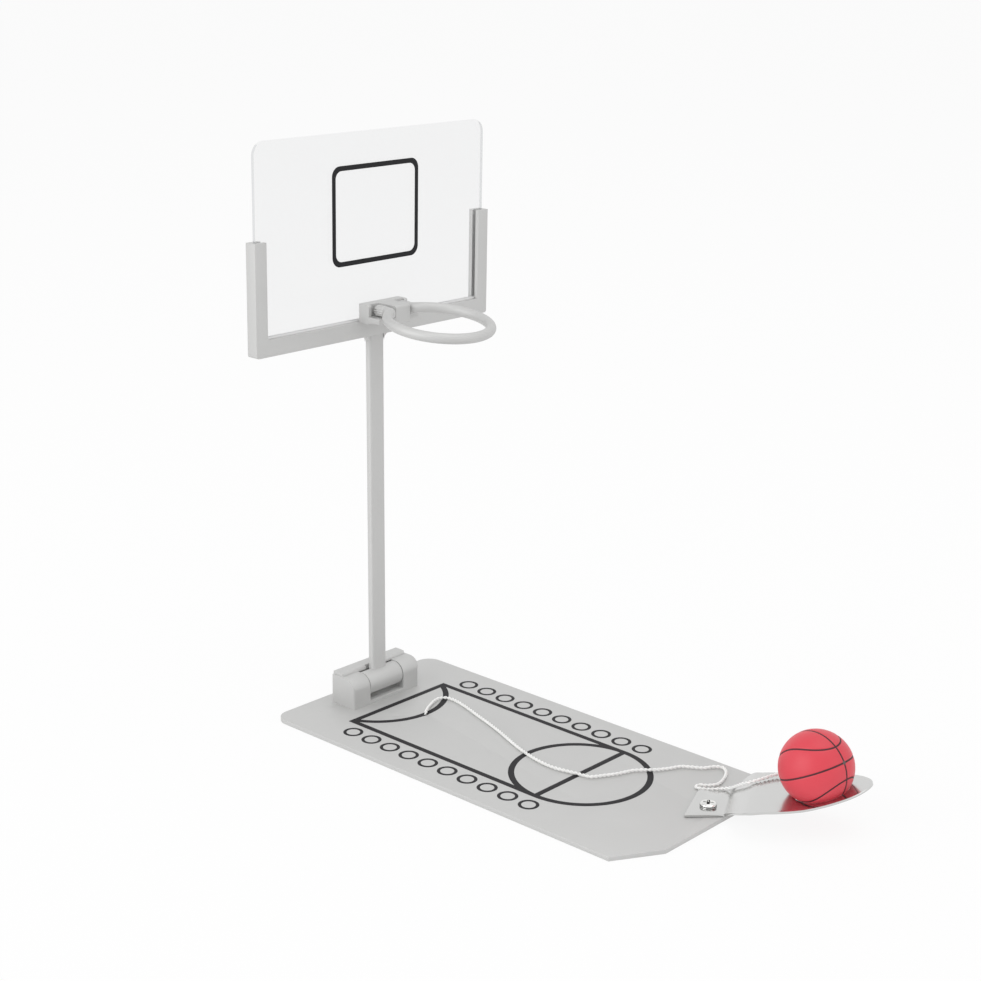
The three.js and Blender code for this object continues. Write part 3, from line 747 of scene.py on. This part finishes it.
@dataclass
class FoldingStand:
    """Hinge block, pole, board frame and the clear board with its printed square."""

    block_round: float = 0.55 * MM
    pole_round: float = 0.2 * MM
    frame_round: float = 0.3 * MM
    board_round: float = 0.12 * MM
    painted_light_top: float = 151.7 * MM
    frame_front: float = -73.15 * MM
    rib_half: float = 2.2 * MM
    rib_from: float = 145.5 * MM
    rib_low: float = 149.4 * MM
    window_half: float = 9.0 * MM
    window_rear: float = -72.0 * MM
    sill_front: float = -68.3 * MM
    sill_slope: float = 1.5 * MM
    sill_low: float = 2.9 * MM
    sill_high: float = 3.2 * MM
    sill_foot: float = 1.7 * MM
    barrel_flat: float = 5.1 * MM
    square_half: float = 21.8 * MM
    square_low: float = 172.0 * MM
    square_high: float = 208.1 * MM
    square_y: float = 0.5 * MM
    square_line: float = 1.8 * MM
    square_round: float = 3.7 * MM
    ink: float = 0.02 * MM
    cut_edge_tilt: float = 0.6

    def square(self) -> Piece:
        """Builds the printed square on the board's front face.

        Returns:
            The square's film.
        """
        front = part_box("backboard")[1].x
        edges = [
            rounded_loop(
                (self.square_y - self.square_half + inset, self.square_low + inset),
                (self.square_y + self.square_half - inset, self.square_high - inset),
                self.square_round - inset / 2,
            )
            for inset in (0.0, self.square_line)
        ]
        shape = bmesh.new()
        film(shape, *edges, True, lambda a, b, height: Vector((front + height, a, b)), self.ink)
        return new_piece("board_square", shape)

    def trimmed_sill(self, corner: Vector) -> Vector:
        """Brings the corners of the block's sill to the slope of the casting.

        Args:
            corner: a corner of the block.

        Returns:
            Its place on the slope, or where it was if it isn't the sill's.
        """
        in_window = abs(corner.y) < self.window_half + SLACK and corner.x > self.window_rear
        if not in_window or not self.sill_foot < corner.z < self.barrel_flat:
            return corner
        down = (corner.x - self.sill_front + self.sill_slope) / self.sill_slope
        top = self.sill_high + (self.sill_low - self.sill_high) * min(1.0, max(0.0, down))
        on_slope = down * self.sill_slope > -SLACK
        return Vector((corner.x, corner.y, top if on_slope else min(corner.z, top)))

    def shortened_rib(self, corner: Vector) -> Vector:
        """Lifts the underside of the rib under the bracket, which hardly shows.

        Args:
            corner: a corner of the board frame.

        Returns:
            Its place on the shorter rib, or where it was if it isn't the rib's.
        """
        on_rib = abs(corner.y) < self.rib_half + SLACK and corner.x > self.frame_front - SLACK
        if not on_rib or corner.z < self.rib_from:
            return corner
        return Vector((corner.x, corner.y, max(corner.z, self.rib_low)))

    def flattened_barrel(self, corner: Vector) -> Vector:
        """Flattens the underside of the pole's barrel, which faces the sill."""
        return Vector((corner.x, corner.y, max(corner.z, self.barrel_flat)))

    def board(self) -> None:
        """Builds and dresses the clear board, with a painted refraction grey on its side edges and
        painted light on the strip in the rail.
        """
        board = softened("backboard", "clear_board", self.board_round)
        shape = bmesh.new()
        shape.from_mesh(board.data)
        sliced(shape, (0.0, 0.0, self.painted_light_top), (0.0, 0.0, 1.0))
        shape.to_mesh(board.data)
        shape.free()
        dress(board, CLEAR_SHEET, Body.STAND, ["backboard"])
        for finish in (EDGE_PAINTED_REFRACTION, GROOVE_PAINTED_LIGHT):
            board.data.materials.append(finish.material())
        sheet, edge, strip = range(3)
        for face in board.data.polygons:
            # Side edges get the painted refraction grey.
            face.material_index = edge if abs(face.normal.y) > self.cut_edge_tilt else sheet
            # Faces below this height get the painted light that hides the groove's shade.
            if face.center.z < self.painted_light_top:
                face.material_index = strip

    def build(self) -> None:
        """Builds and dresses the stand's pieces."""
        for node, name, radius, trim, body in (
            ("hinge_block", "cast_hinge_block", self.block_round, self.trimmed_sill, Body.BASE),
            ("pole", "flat_pole", self.pole_round, self.flattened_barrel, Body.STAND),
            ("board_frame", "board_channel", self.frame_round, self.shortened_rib, Body.STAND),
        ):
            piece = softened(node, name, radius, trim=trim)
            dress(piece, SILVER_LACQUER, body, [node])
        self.board()
        dress(self.square(), BOARD_INK, Body.STAND)
        for node in ("block_screw_near", "block_screw_far", "hinge_pin", "hoop_pin"):
            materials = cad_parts[node].data.materials
            materials.clear()
            materials.append(PLAIN_STEEL.material())


@dataclass
class Hoop:
    """The bracket and the ring of bent rod with its two ribbed arms."""

    bracket_round: float = 0.35 * MM
    radius: float = 18.58 * MM
    ring_steps: int = 56
    rod: float = 1.9 * MM
    rod_sides: int = 28
    rod_spacing: float = 0.6 * MM
    reach: float = 24.35 * MM
    sink: float = 1.64 * MM
    droop: float = 6.8
    pin_x: float = -66.5 * MM
    arm_z: float = 155.9 * MM
    arm_spread: float = 6.05 * MM
    hub_length: float = 3.6 * MM
    hub_radius: float = 2.1 * MM
    hub_back: float = 1.155 * MM
    hub_steps: int = 12
    hub_ribs: int = 14
    rib_steps: int = 8
    rib_depth: float = 0.22 * MM
    end_length: float = 0.8 * MM
    end_share: float = 0.82

    def rod_line(self) -> list[Vector]:
        """Gives the rod's centre line, from one arm round to the other.

        Returns:
            The line's points.
        """
        leave = asin((self.arm_spread + self.rod) / self.radius)
        angles = np.linspace(leave, FULL_TURN - leave, self.ring_steps + 1)
        centre = Vector((self.pin_x + self.reach, 0.0, self.arm_z - self.sink))
        tilt = Matrix.Rotation(radians(self.droop), 3, "Y")
        ring = [centre + tilt @ Vector((-cos(t), sin(t), 0.0)) * self.radius for t in angles]
        ends = (self.pin_x, self.pin_x + self.hub_length)
        far = [Vector((x, self.arm_spread, self.arm_z)) for x in ends]
        near = [Vector((x, -self.arm_spread, self.arm_z)) for x in reversed(ends)]
        return catmull_rom([*far, *ring, *near], self.rod_spacing)

    def hub(self, name: str, side: int) -> Piece:
        """Builds one ribbed hub round the pin.

        Args:
            name: the piece's name.
            side: -1 for the near arm and 1 for the far one.

        Returns:
            The hub.
        """
        points = []
        for turn in np.linspace(0.0, FULL_TURN, self.hub_ribs * self.rib_steps, endpoint=False):
            radius = self.hub_radius - self.rib_depth * (0.5 - 0.5 * cos(turn * self.hub_ribs))
            points.append((radius * cos(turn), radius * sin(turn)))
        rear = self.pin_x - self.hub_back
        reach = self.hub_length + self.hub_back
        marks = [rear + reach * i / self.hub_steps for i in range(self.hub_steps + 1)]
        line = [Vector((x, side * self.arm_spread, self.arm_z)) for x in marks]

        def section(along: float) -> list[Point2]:
            """Draws the hub in at both ends.

            Args:
                along: the distance from its rear end.

            Returns:
                The section's points.
            """
            inward = min(1.0, max(0.0, min(along, reach - along) / self.end_length))
            share = self.end_share + (1 - self.end_share) * sqrt(inward)
            return [(a * share, b * share) for a, b in points]

        return swept(name, line, section)

    def build(self) -> None:
        """Builds and dresses the bracket, the rod and its hubs."""
        bracket = softened("hoop_bracket", "hoop_bracket_casting", self.bracket_round)
        dress(bracket, SILVER_LACQUER, Body.STAND, ["hoop_bracket"])
        section = circle(self.rod, self.rod_sides)
        ring = swept("hoop_rod", self.rod_line(), lambda along: section)
        dress(ring, SILVER_LACQUER, Body.HOOP, ["hoop_ring"])
        for side, name in ((-1, "near_hub"), (1, "far_hub")):
            dress(self.hub(name, side), SILVER_LACQUER, Body.HOOP)


@dataclass
class CrossScrew:
    """The pan-head screw with a cross recess in its head."""

    head_radius: float = 2.95 * MM
    head_height: float = 1.4 * MM
    head_low: float = 2.75 * MM
    squareness: float = 4.0
    profile_steps: int = 40
    around: int = 120
    shank_radius: float = 1.45 * MM
    shank_low: float = 0.2 * MM
    # Heights over the head's foot between which its side is painted as a shadow band; no gap is
    # modelled there.
    shadow_band_low: float = 0.3 * MM
    shadow_band_high: float = 0.62 * MM
    arm_half: float = 0.42 * MM
    arm_reach: float = 1.75 * MM
    depth: float = 0.95 * MM
    edge: float = 0.14 * MM
    turn: float = 32.0
    flat_share: float = 1.15
    flat_rings: int = 20
    # The recess is painted dark above this height over the head's foot.
    dark_from: float = 0.1 * MM

    def cut(self, a: float, b: float) -> float:
        """Tells how far into the recess a point of the head lies.

        Args:
            a: its place along the screw's own first axis.
            b: its place along the second.

        Returns:
            0 on the head, 1 on the recess's floor and between them on its edge.
        """
        turn = radians(self.turn)
        along = a * cos(turn) + b * sin(turn)
        across = b * cos(turn) - a * sin(turn)
        share = 0.0
        for u, v in ((along, across), (across, along)):
            inside = min(self.arm_half - abs(v), self.arm_reach - abs(u)) / self.edge + 0.5
            share = max(share, min(1.0, max(0.0, inside)))
        return share * share * (3 - 2 * share)

    def dark(self, spot: Vector) -> bool:
        """Tells whether a spot gets the painted shade: in the recess, or in the painted shadow band on
        the head's side.

        Args:
            spot: the spot, from the point of the screw's axis at height 0.

        Returns:
            Whether it gets the painted shade.
        """
        in_recess = spot.z > self.head_low + self.dark_from and self.cut(spot.x, spot.y) > 0.5
        in_shadow_band = self.shadow_band_low < spot.z - self.head_low < self.shadow_band_high
        return in_recess or in_shadow_band

    def profile(self) -> list[Point2]:
        """Gives the head's side line as radius and height, from the middle to the rim.

        Returns:
            The line's points.
        """
        power = 2 / self.squareness
        points = []
        for step in range(1, self.profile_steps + 1):
            tilt = QUARTER_TURN * step / self.profile_steps
            height = self.head_low + self.head_height * max(0.0, cos(tilt)) ** power
            points.append((self.head_radius * sin(tilt) ** power, height))
        return points

    def build(self, place: Vector) -> Piece:
        """Builds the screw.

        Args:
            place: the point of its axis at height 0.

        Returns:
            The screw as one closed solid.
        """
        top = self.head_low + self.head_height
        floor = top - self.depth
        flat = self.arm_reach * self.flat_share
        inner = [(flat * step / self.flat_rings, top) for step in range(1, self.flat_rings)]
        outer = [(r, z) for r, z in self.profile() if r > inner[-1][0] + 2 * SLACK]
        shank = [(self.shank_radius, self.head_low), (self.shank_radius, self.shank_low)]
        shape = bmesh.new()
        rows = []
        for radius, height in (*inner, *outer, *shank):
            row = []
            for a, b in circle(radius, self.around):
                sink = self.cut(a, b) * max(0.0, height - floor)
                row.append(shape.verts.new(place + Vector((a, b, height - sink))))
            rows.append(row)
        skin(shape, rows)
        return new_piece("cross_head_screw", shape, smooth_below=40.0)


@dataclass
class Launcher:
    """The polished leaf, bent up from its flat foot, and the screw that holds it.

    Places on the leaf are in its own axes: along it from the screw, and across it to the far
    side. The two edges are curves through points in plain millimetres, and the height shares
    give how far up its rise the leaf is at shares of its free length.
    """

    x: float = 78.7 * MM
    y: float = 9.1 * MM
    yaw: float = 28.0
    foot_top: float = 2.6 * MM
    thick: float = 0.8 * MM
    near_foot: Point2 = (-7.0 * MM, -9.3 * MM)
    far_foot: Point2 = (-5.0 * MM, 12.0 * MM)
    corner: float = 1.2 * MM
    neck: float = 6.0 * MM
    bend_before: float = 3.0 * MM
    bend_after: float = 5.0 * MM
    length: float = 54.8 * MM
    rise: float = 16.3 * MM
    seat_at: float = 38.3 * MM
    seat_gap: float = 0.03 * MM
    seat_least: float = 3.0 * MM
    seat_most: float = 13.0 * MM
    seat_steps: int = 96
    halvings: int = 30
    ball_radius: float = 12.9 * MM
    screw_hole: float = 1.6 * MM
    hole_steps: int = 24
    edge_round: float = 0.12 * MM
    edge_angle: float = 50.0
    slice_from: float = -6.0 * MM
    slice_width: float = 0.6 * MM
    side_spacing: float = 0.25 * MM
    plan_spacing: float = 0.6 * MM
    height_shares: tuple[Point2, ...] = (
        (0.0, 0.0), (0.168, 0.417), (0.348, 0.509), (0.551, 0.579), (0.775, 0.782), (1.0, 1.0),
    )
    near_edge: tuple[Point2, ...] = (
        (6.0, -5.0), (8.0, -7.5), (10.0, -10.7), (12.0, -13.6), (14.2, -15.8), (16.5, -16.7),
        (20.5, -16.1), (26.0, -15.2), (32.0, -13.9), (38.3, -12.7), (44.0, -11.1),
        (49.0, -8.5), (52.0, -5.6), (54.0, -2.4),
    )
    far_edge: tuple[Point2, ...] = (
        (54.5, 0.3), (53.4, 3.4), (50.0, 7.4), (45.0, 10.6), (38.3, 12.6), (32.0, 14.6),
        (26.0, 15.9), (20.5, 15.8), (16.5, 15.9), (14.2, 16.9), (12.4, 17.7),
        (10.6, 16.8), (8.0, 14.9), (5.0, 13.4),
    )

    def to_frame(self) -> Matrix:
        """Gives the turn and place of the leaf's own axes."""
        turn = Matrix.Rotation(radians(self.yaw), 4, "Z")
        return Matrix.Translation((self.x, self.y, 0.0)) @ turn

    def heights(self) -> tuple[np.ndarray, np.ndarray]:
        """Gives the side line of the leaf's top.

        Returns:
            Distances along the leaf, and the top's height at each.
        """
        run = self.length - self.neck
        points = [
            Vector((self.neck + along * run, 0.0, self.foot_top + up * self.rise))
            for along, up in self.height_shares
        ]
        line = catmull_rom(points, self.side_spacing, 0.0)
        return np.array([p.x for p in line]), np.array([p.z for p in line])

    def outline(self) -> list[Point2]:
        """Gives the leaf's plan.

        Returns:
            Its outline, anticlockwise from the near rear corner.
        """
        points = [Vector((a, b, 0.0)) * MM for a, b in (*self.near_edge, *self.far_edge)]
        plan = [(p.x, p.y) for p in catmull_rom(points, self.plan_spacing)]
        near = eased(self.far_foot, self.near_foot, plan[0], self.corner)
        far = eased(plan[-1], self.far_foot, self.near_foot, self.corner)
        return [*near, *plan, *far]

    def seat_loop(self) -> list[Point2]:
        """Finds where the ball, lying on the leaf, meets it.

        Returns:
            The seat's rim in plan, anticlockwise.
        """
        centre = self.to_frame().inverted() @ ball_centre()
        along, up = self.heights()
        loop = []
        for i in range(self.seat_steps):
            turn = FULL_TURN * i / self.seat_steps
            inner, outer = self.seat_least, self.seat_most
            for _ in range(self.halvings):
                reach = (inner + outer) / 2
                a, b = self.seat_at + reach * cos(turn), reach * sin(turn)
                point = Vector((a, b, float(np.interp(a, along, up))))
                if (point - centre).length < self.ball_radius + self.seat_gap:
                    inner = reach
                else:
                    outer = reach
            loop.append((a, b))
        return loop

    def leaf(self) -> Piece:
        """Builds the leaf as one bent strip with its seat hole and screw hole.

        Returns:
            The leaf, not yet dressed.
        """
        shape = bmesh.new()
        edges = []
        for loop in (self.outline(), self.seat_loop(), circle(self.screw_hole, self.hole_steps)):
            verts = [shape.verts.new((a, b, 0.0)) for a, b in loop]
            edges += [shape.edges.new((verts[i - 1], verts[i])) for i in range(len(verts))]
        bmesh.ops.triangle_fill(shape, use_beauty=True, use_dissolve=False, edges=edges)
        for place in np.arange(self.slice_from, self.length, self.slice_width):
            sliced(shape, (place, 0.0, 0.0), (1.0, 0.0, 0.0))
        along, up = self.heights()
        for vert in shape.verts:
            vert.co.z = float(np.interp(vert.co.x, along, up))
        shape.transform(self.to_frame())
        bmesh.ops.recalc_face_normals(shape, faces=shape.faces)
        if sum(face.normal.z for face in shape.faces) < 0:
            bmesh.ops.reverse_faces(shape, faces=shape.faces)
        mesh = bpy.data.meshes.new("leaf_sheet")
        shape.to_mesh(mesh)
        shape.free()
        sheet = linked("launcher_leaf", mesh)
        thicken = sheet.modifiers.new("thickness", "SOLIDIFY")
        thicken.thickness = self.thick
        thicken.offset = -1.0
        thicken.use_even_offset = True
        soften = sheet.modifiers.new("edges", "BEVEL")
        soften.width = self.edge_round
        soften.segments = 2
        soften.limit_method = "ANGLE"
        soften.angle_limit = radians(self.edge_angle)
        return smooth(applied(sheet), 30.0)

    def build(self) -> None:
        """Builds and dresses the leaf and the screw."""
        leaf = self.leaf()
        nodes = ["launcher_foot", "launcher_blade"]
        dress(leaf, POLISHED_SPRING_STEEL, None, nodes)
        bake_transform(leaf)
        maker = CrossScrew()
        place = Vector((self.x, self.y, 0.0))
        screw = maker.build(place)
        dress(screw, BRIGHT_SCREW_STEEL, Body.BASE, ["launcher_screw"])
        # Painted shade: the recess faces and the band round the head's side get the near-black finish.
        screw.data.materials.append(SCREW_PAINTED_SHADE.material())
        for face in screw.data.polygons:
            face.material_index = int(maker.dark(face.center - place))


@dataclass
class TetherBall:
    """The rubber ball with its panel lines, and the twisted string that tethers it.

    The string's route is in millimetres: the points that the model's own string passes through.
    """

    radius: float = 12.9 * MM
    fineness: int = 7
    groove_width: float = 0.75 * MM
    groove_depth: float = 0.22 * MM
    paint_half: float = 0.27 * MM
    paint_thick: float = 0.12 * MM
    paint_lift: float = 0.02 * MM
    hair: float = 0.002 * MM
    crossing: Point3 = (-0.8867, 0.1086, -0.4495)
    along_main: Point3 = (-0.0952, -0.9941, -0.0524)
    across: Point3 = (-0.4525, -0.0036, 0.8917)
    seam_steps: int = 480
    loop_near: float = 26.5
    loop_far: float = 46.0
    valve_radius: float = 0.75 * MM
    valve_sink: float = 0.2 * MM
    valve_height: float = 0.3 * MM
    valve_rings: int = 5
    valve_sides: int = 20
    string_radius: float = 0.62 * MM
    ply_share: float = 0.54
    core_share: float = 0.3
    strand_sides: int = 20
    string_spacing: float = 0.2 * MM
    string_sink: float = 1.0 * MM
    twist_pitch: float = 3.2 * MM
    knot_round: float = 0.05 * MM
    tail_from: int = 33
    bending_points: int = 40
    route: tuple[Point3, ...] = (
        (-46.5, -1.1, 1.2), (-46.5, -1.1, 1.9), (-47.3, 0.3, 2.5), (-50.2, 5.6, 2.4),
        (-52.1, 11.3, 2.4), (-50.6, 14.6, 2.4), (-46.2, 15.2, 2.4), (-30.6, 10.8, 2.4),
        (-14.5, 5.5, 2.4), (-3.2, 0.9, 2.4), (6, -2.2, 2.4), (13.8, -3.9, 2.4),
        (20.7, -4.2, 2.4), (25.8, -3.1, 2.4), (30.8, -1.9, 2.4), (34.7, -0.9, 2.4),
        (37.3, 3.1, 2.4), (40, 7.7, 2.4), (42.5, 14.2, 2.4), (47, 18.9, 2.4),
        (50.6, 24.2, 2.4), (52.8, 28.7, 2.4), (59.4, 33.2, 2.4), (61.3, 36.6, 2.4),
        (64.2, 38.2, 2.4), (67.6, 35.2, 2.4), (69.9, 30.1, 2.4), (70.7, 25.8, 2.4),
        (68.6, 22.3, 2.4), (66.4, 20.6, 2.4), (66.6, 18.5, 2.4), (70.3, 19.7, 2.4),
        (74.9, 23.4, 2.9), (78.9, 23.2, 4.9), (82.4, 22.1, 7.4), (85.9, 21.8, 9.4),
        (89.3, 24.2, 11), (92.4, 29.8, 12), (96.6, 32.4, 12.7), (100, 33.4, 14.1),
    )

    def seam_lines(self) -> list[np.ndarray]:
        """Gives the four closed panel lines.

        Returns:
            Each line's points as directions from the ball's centre.
        """
        main = np.array(self.along_main)
        start = np.array(self.crossing)
        up = np.array(self.across)
        turns = np.linspace(0.0, FULL_TURN, self.seam_steps, endpoint=False)
        round_up, round_main = (
            np.outer(np.cos(turns), start) + np.outer(np.sin(turns), other) for other in (up, main)
        )
        near, far = radians(self.loop_near), radians(self.loop_far)
        tilt = near + (far - near) * (1 - np.cos(2 * turns)) / 2
        loops = [
            round_main * np.cos(tilt)[:, None] + np.outer(side * np.sin(tilt), up) for side in (1, -1)
        ]
        lines = [round_up, round_main, *loops]
        return [line / np.linalg.norm(line, axis=1)[:, None] for line in lines]

    def ball(self) -> Piece:
        """Builds the ball with grooves pressed along its panel lines.

        Returns:
            The ball.
        """
        shape = bmesh.new()
        bmesh.ops.create_icosphere(shape, subdivisions=self.fineness, radius=self.radius)
        rows = np.array([vert.co for vert in shape.verts]) / self.radius
        nearest = np.zeros(len(rows))
        for line in self.seam_lines():
            nearest = np.maximum(nearest, (rows @ line.T).max(axis=1))
        away = np.arccos(np.clip(nearest, -1, 1)) * self.radius
        share = np.clip(1 - away / self.groove_width, 0, 1)
        depth = self.groove_depth * share * share * (3 - 2 * share)
        centre = ball_centre()
        for vert, dip in zip(shape.verts, depth):
            vert.co = centre + vert.co * (1 - float(dip) / self.radius)
        return new_piece("rubber_ball", shape, smooth_below=60.0)

    def seams(self) -> Piece:
        """Builds the dark paint that lies in the grooves.

        Returns:
            The paint of all four lines as one piece.
        """
        centre = ball_centre()
        shape = bmesh.new()
        for number, line in enumerate(self.seam_lines()):
            points = [Vector(p) for p in line]
            low = self.radius - self.groove_depth + self.paint_lift + number * self.hair
            high = low + self.paint_thick
            rows = []
            for i, point in enumerate(points):
                run = points[(i + 1) % len(points)] - points[i - 1]
                side = point.cross(run).normalized() * (self.paint_half / self.radius)
                left, right = (point + side).normalized(), (point - side).normalized()
                corners = (left * high, right * high, right * low, left * low)
                rows.append([shape.verts.new(centre + corner) for corner in corners])
            skin(shape, rows, True)
        return new_piece("panel_lines", shape, smooth_below=50.0)

    def valve(self) -> Piece:
        """Builds the small grey mark of the ball's valve.

        Returns:
            The mark.
        """
        outward = -Vector(self.crossing).normalized()
        side = outward.orthogonal().normalized()
        up = outward.cross(side)
        shape = bmesh.new()
        rows = []
        for ring in range(self.valve_rings):
            tilt = QUARTER_TURN * ring / self.valve_rings
            height = self.radius - self.valve_sink + self.valve_height * sin(tilt)
            middle = ball_centre() + outward * height
            points = circle(self.valve_radius * cos(tilt), self.valve_sides)
            rows.append([shape.verts.new(middle + side * a + up * b) for a, b in points])
        skin(shape, rows)
        return new_piece("valve_mark", shape, smooth_below=50.0)

    def strand_section(self, along: float) -> list[Point2]:
        """Gives the outline of two twisted plies at one place of the string.

        Args:
            along: the distance from the string's start.

        Returns:
            The outline's points.
        """
        ply = self.ply_share * self.string_radius
        offset = self.string_radius - ply
        turn = FULL_TURN * along / self.twist_pitch
        points = []
        for i in range(self.strand_sides):
            angle = FULL_TURN * i / self.strand_sides
            reach = self.core_share * self.string_radius
            for gap in (angle - turn, angle - turn - pi):
                under = ply * ply - (offset * sin(gap)) ** 2
                if under > 0:
                    reach = max(reach, offset * cos(gap) + sqrt(under))
            points.append((reach * cos(angle), reach * sin(angle)))
        return points

    def string_lines(self) -> tuple[list[Vector], list[Vector]]:
        """Gives the string's centre line, cut where the leaf starts to rise.

        Returns:
            The run from the plate to the cut, and the tail from there into the ball.
        """
        points = [Vector(p) * MM for p in self.route]
        centre = ball_centre()
        inward = (centre - points[-1]).normalized()
        points.append(centre - inward * (self.radius - self.string_sink))
        line = catmull_rom(points, self.string_spacing)
        cut_at = points[self.tail_from]
        cut = min(range(len(line)), key=lambda i: (line[i] - cut_at).length)
        return line[: cut + 1], line[cut:]

    def string(self) -> None:
        """Builds the string in two runs, because its tail moves with the ball."""
        run, tail = self.string_lines()
        twisted = 0.0
        for name, line, bend, root, tip in (
            ("string_run", run, run[-self.bending_points], Body.BASE, Body.LAUNCHER),
            ("string_tail", tail, tail[0], Body.LAUNCHER, Body.BALL),
        ):
            piece = swept(name, line, lambda along, before=twisted: self.strand_section(before + along))
            dress(piece, WHITE_TWINE, None, ["string"])
            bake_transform(piece)
            twisted += line_length(line)

    def build(self) -> None:
        """Builds and dresses the ball, its lines and the string."""
        self.string()
        dress(self.ball(), RED_RUBBER, Body.BALL, ["ball"])
        dress(self.seams(), SEAM_PAINT, Body.BALL)
        dress(self.valve(), VALVE_GREY, Body.BALL)
        knot = softened("plate_knot", "string_knot", self.knot_round, segments=1)
        dress(knot, WHITE_TWINE, Body.BASE, ["plate_knot"])


# The studio


@dataclass
class Studio:
    """Camera, pale floor, soft lamps and a white room."""

    eye: Point3 = (0.4250, -0.49194, 0.29968)
    azimuth: float = 41.887
    elevation: float = 17.032
    roll: float = 1.007
    lens: float = 70.98
    room_light: float = 0.72
    floor_half: float = 14.0
    floor_drop: float = 0.02 * MM
    floor_glow: float = 0.87
    lit_point: Point3 = (0.0, 0.0, 0.08)
    lamps: tuple[tuple[str, Point3, float, float], ...] = (
        ("key_lamp", (-0.35, -1.5, 0.75), 1.4, 9.0),
        ("top_lamp", (0.3, 0.2, 1.6), 1.2, 4.0),
        ("front_lamp", (1.6, 0.3, 0.6), 1.2, 1.8),
    )

    def camera(self) -> None:
        """Sets the camera to the photograph's place and angle."""
        turn = Matrix.Rotation(radians(self.azimuth), 4, "Z")
        turn @= Matrix.Rotation(QUARTER_TURN - radians(self.elevation), 4, "X")
        turn @= Matrix.Rotation(radians(self.roll), 4, "Z")
        data = bpy.data.cameras.new("camera")
        data.lens = self.lens
        camera = linked("camera", data)
        camera.matrix_world = Matrix.Translation(self.eye) @ turn
        bpy.context.scene.camera = camera

    def seen_directly(self, tree: Tree) -> bpy.types.NodeSocket:
        """Gives 1 for rays that show the background itself, and 0 for rays that light.

        Args:
            tree: the node tree of the world or a material.

        Returns:
            The output to steer a mix with.
        """
        path = add_node(tree, "ShaderNodeLightPath").outputs
        seen = path["Is Camera Ray"]
        for ray in ("Is Glossy Ray", "Is Transmission Ray"):
            links = {0: seen, 1: path[ray]}
            seen = add_node(tree, "ShaderNodeMath", links=links, operation="MAXIMUM").outputs[0]
        return seen

    def world(self) -> None:
        """Lights the room evenly and shows it as white."""
        world = bpy.data.worlds.new("white_room")
        bpy.context.scene.world = world
        world.use_nodes = True
        tree = world.node_tree
        tree.nodes.clear()
        white = linear("#ffffff")
        lit = add_node(tree, "ShaderNodeBackground", {"Color": white, "Strength": self.room_light})
        shown = add_node(tree, "ShaderNodeBackground", {"Color": white, "Strength": 1.0})
        links = {0: self.seen_directly(tree), 1: lit.outputs[0], 2: shown.outputs[0]}
        mixed = add_node(tree, "ShaderNodeMixShader", links=links)
        add_node(tree, "ShaderNodeOutputWorld", links={"Surface": mixed.outputs[0]})

    def floor(self) -> None:
        """Lays the pale floor, which keeps a faint shadow."""
        shape = bmesh.new()
        half = self.floor_half
        corners = [(-half, -half), (half, -half), (half, half), (-half, half)]
        shape.faces.new([shape.verts.new((a, b, -self.floor_drop)) for a, b in corners])
        floor = new_piece("floor", shape)
        material, tree = blank_material("matt_white_paper")
        paper = add_node(tree, "ShaderNodeBsdfDiffuse", {"Color": linear("#fbfbfb")})
        glow = add_node(tree, "ShaderNodeEmission", {"Color": linear("#ffffff"), "Strength": 1.0})
        seen = {0: self.seen_directly(tree)}
        share = add_node(tree, "ShaderNodeMath", {1: self.floor_glow}, seen, operation="MULTIPLY")
        links = {0: share.outputs[0], 1: paper.outputs[0], 2: glow.outputs[0]}
        mixed = add_node(tree, "ShaderNodeMixShader", links=links)
        add_node(tree, "ShaderNodeOutputMaterial", links={"Surface": mixed.outputs[0]})
        floor.data.materials.append(material)

    def lights(self) -> None:
        """Hangs the soft square lamps, each of which faces the middle of the object."""
        for name, place, side, watts in self.lamps:
            data = bpy.data.lights.new(name, "AREA")
            data.size = side
            data.energy = watts
            back = Vector(place) - Vector(self.lit_point)
            turn = back.to_track_quat("Z", "Y").to_matrix().to_4x4()
            linked(name, data).matrix_world = Matrix.Translation(place) @ turn

    def build(self) -> None:
        """Sets up everything round the object."""
        bpy.context.scene.view_settings.view_transform = "Standard"
        self.camera()
        self.world()
        self.floor()
        self.lights()


def main() -> None:
    """Builds the studio and the object."""
    logging.basicConfig(level=logging.INFO, format="%(name)s: %(message)s")
    for part in (Studio, TetherBall, CourtPlate, FoldingStand, Hoop, Launcher):
        part().build()
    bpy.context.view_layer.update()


if __name__ == "__main__":
    main()
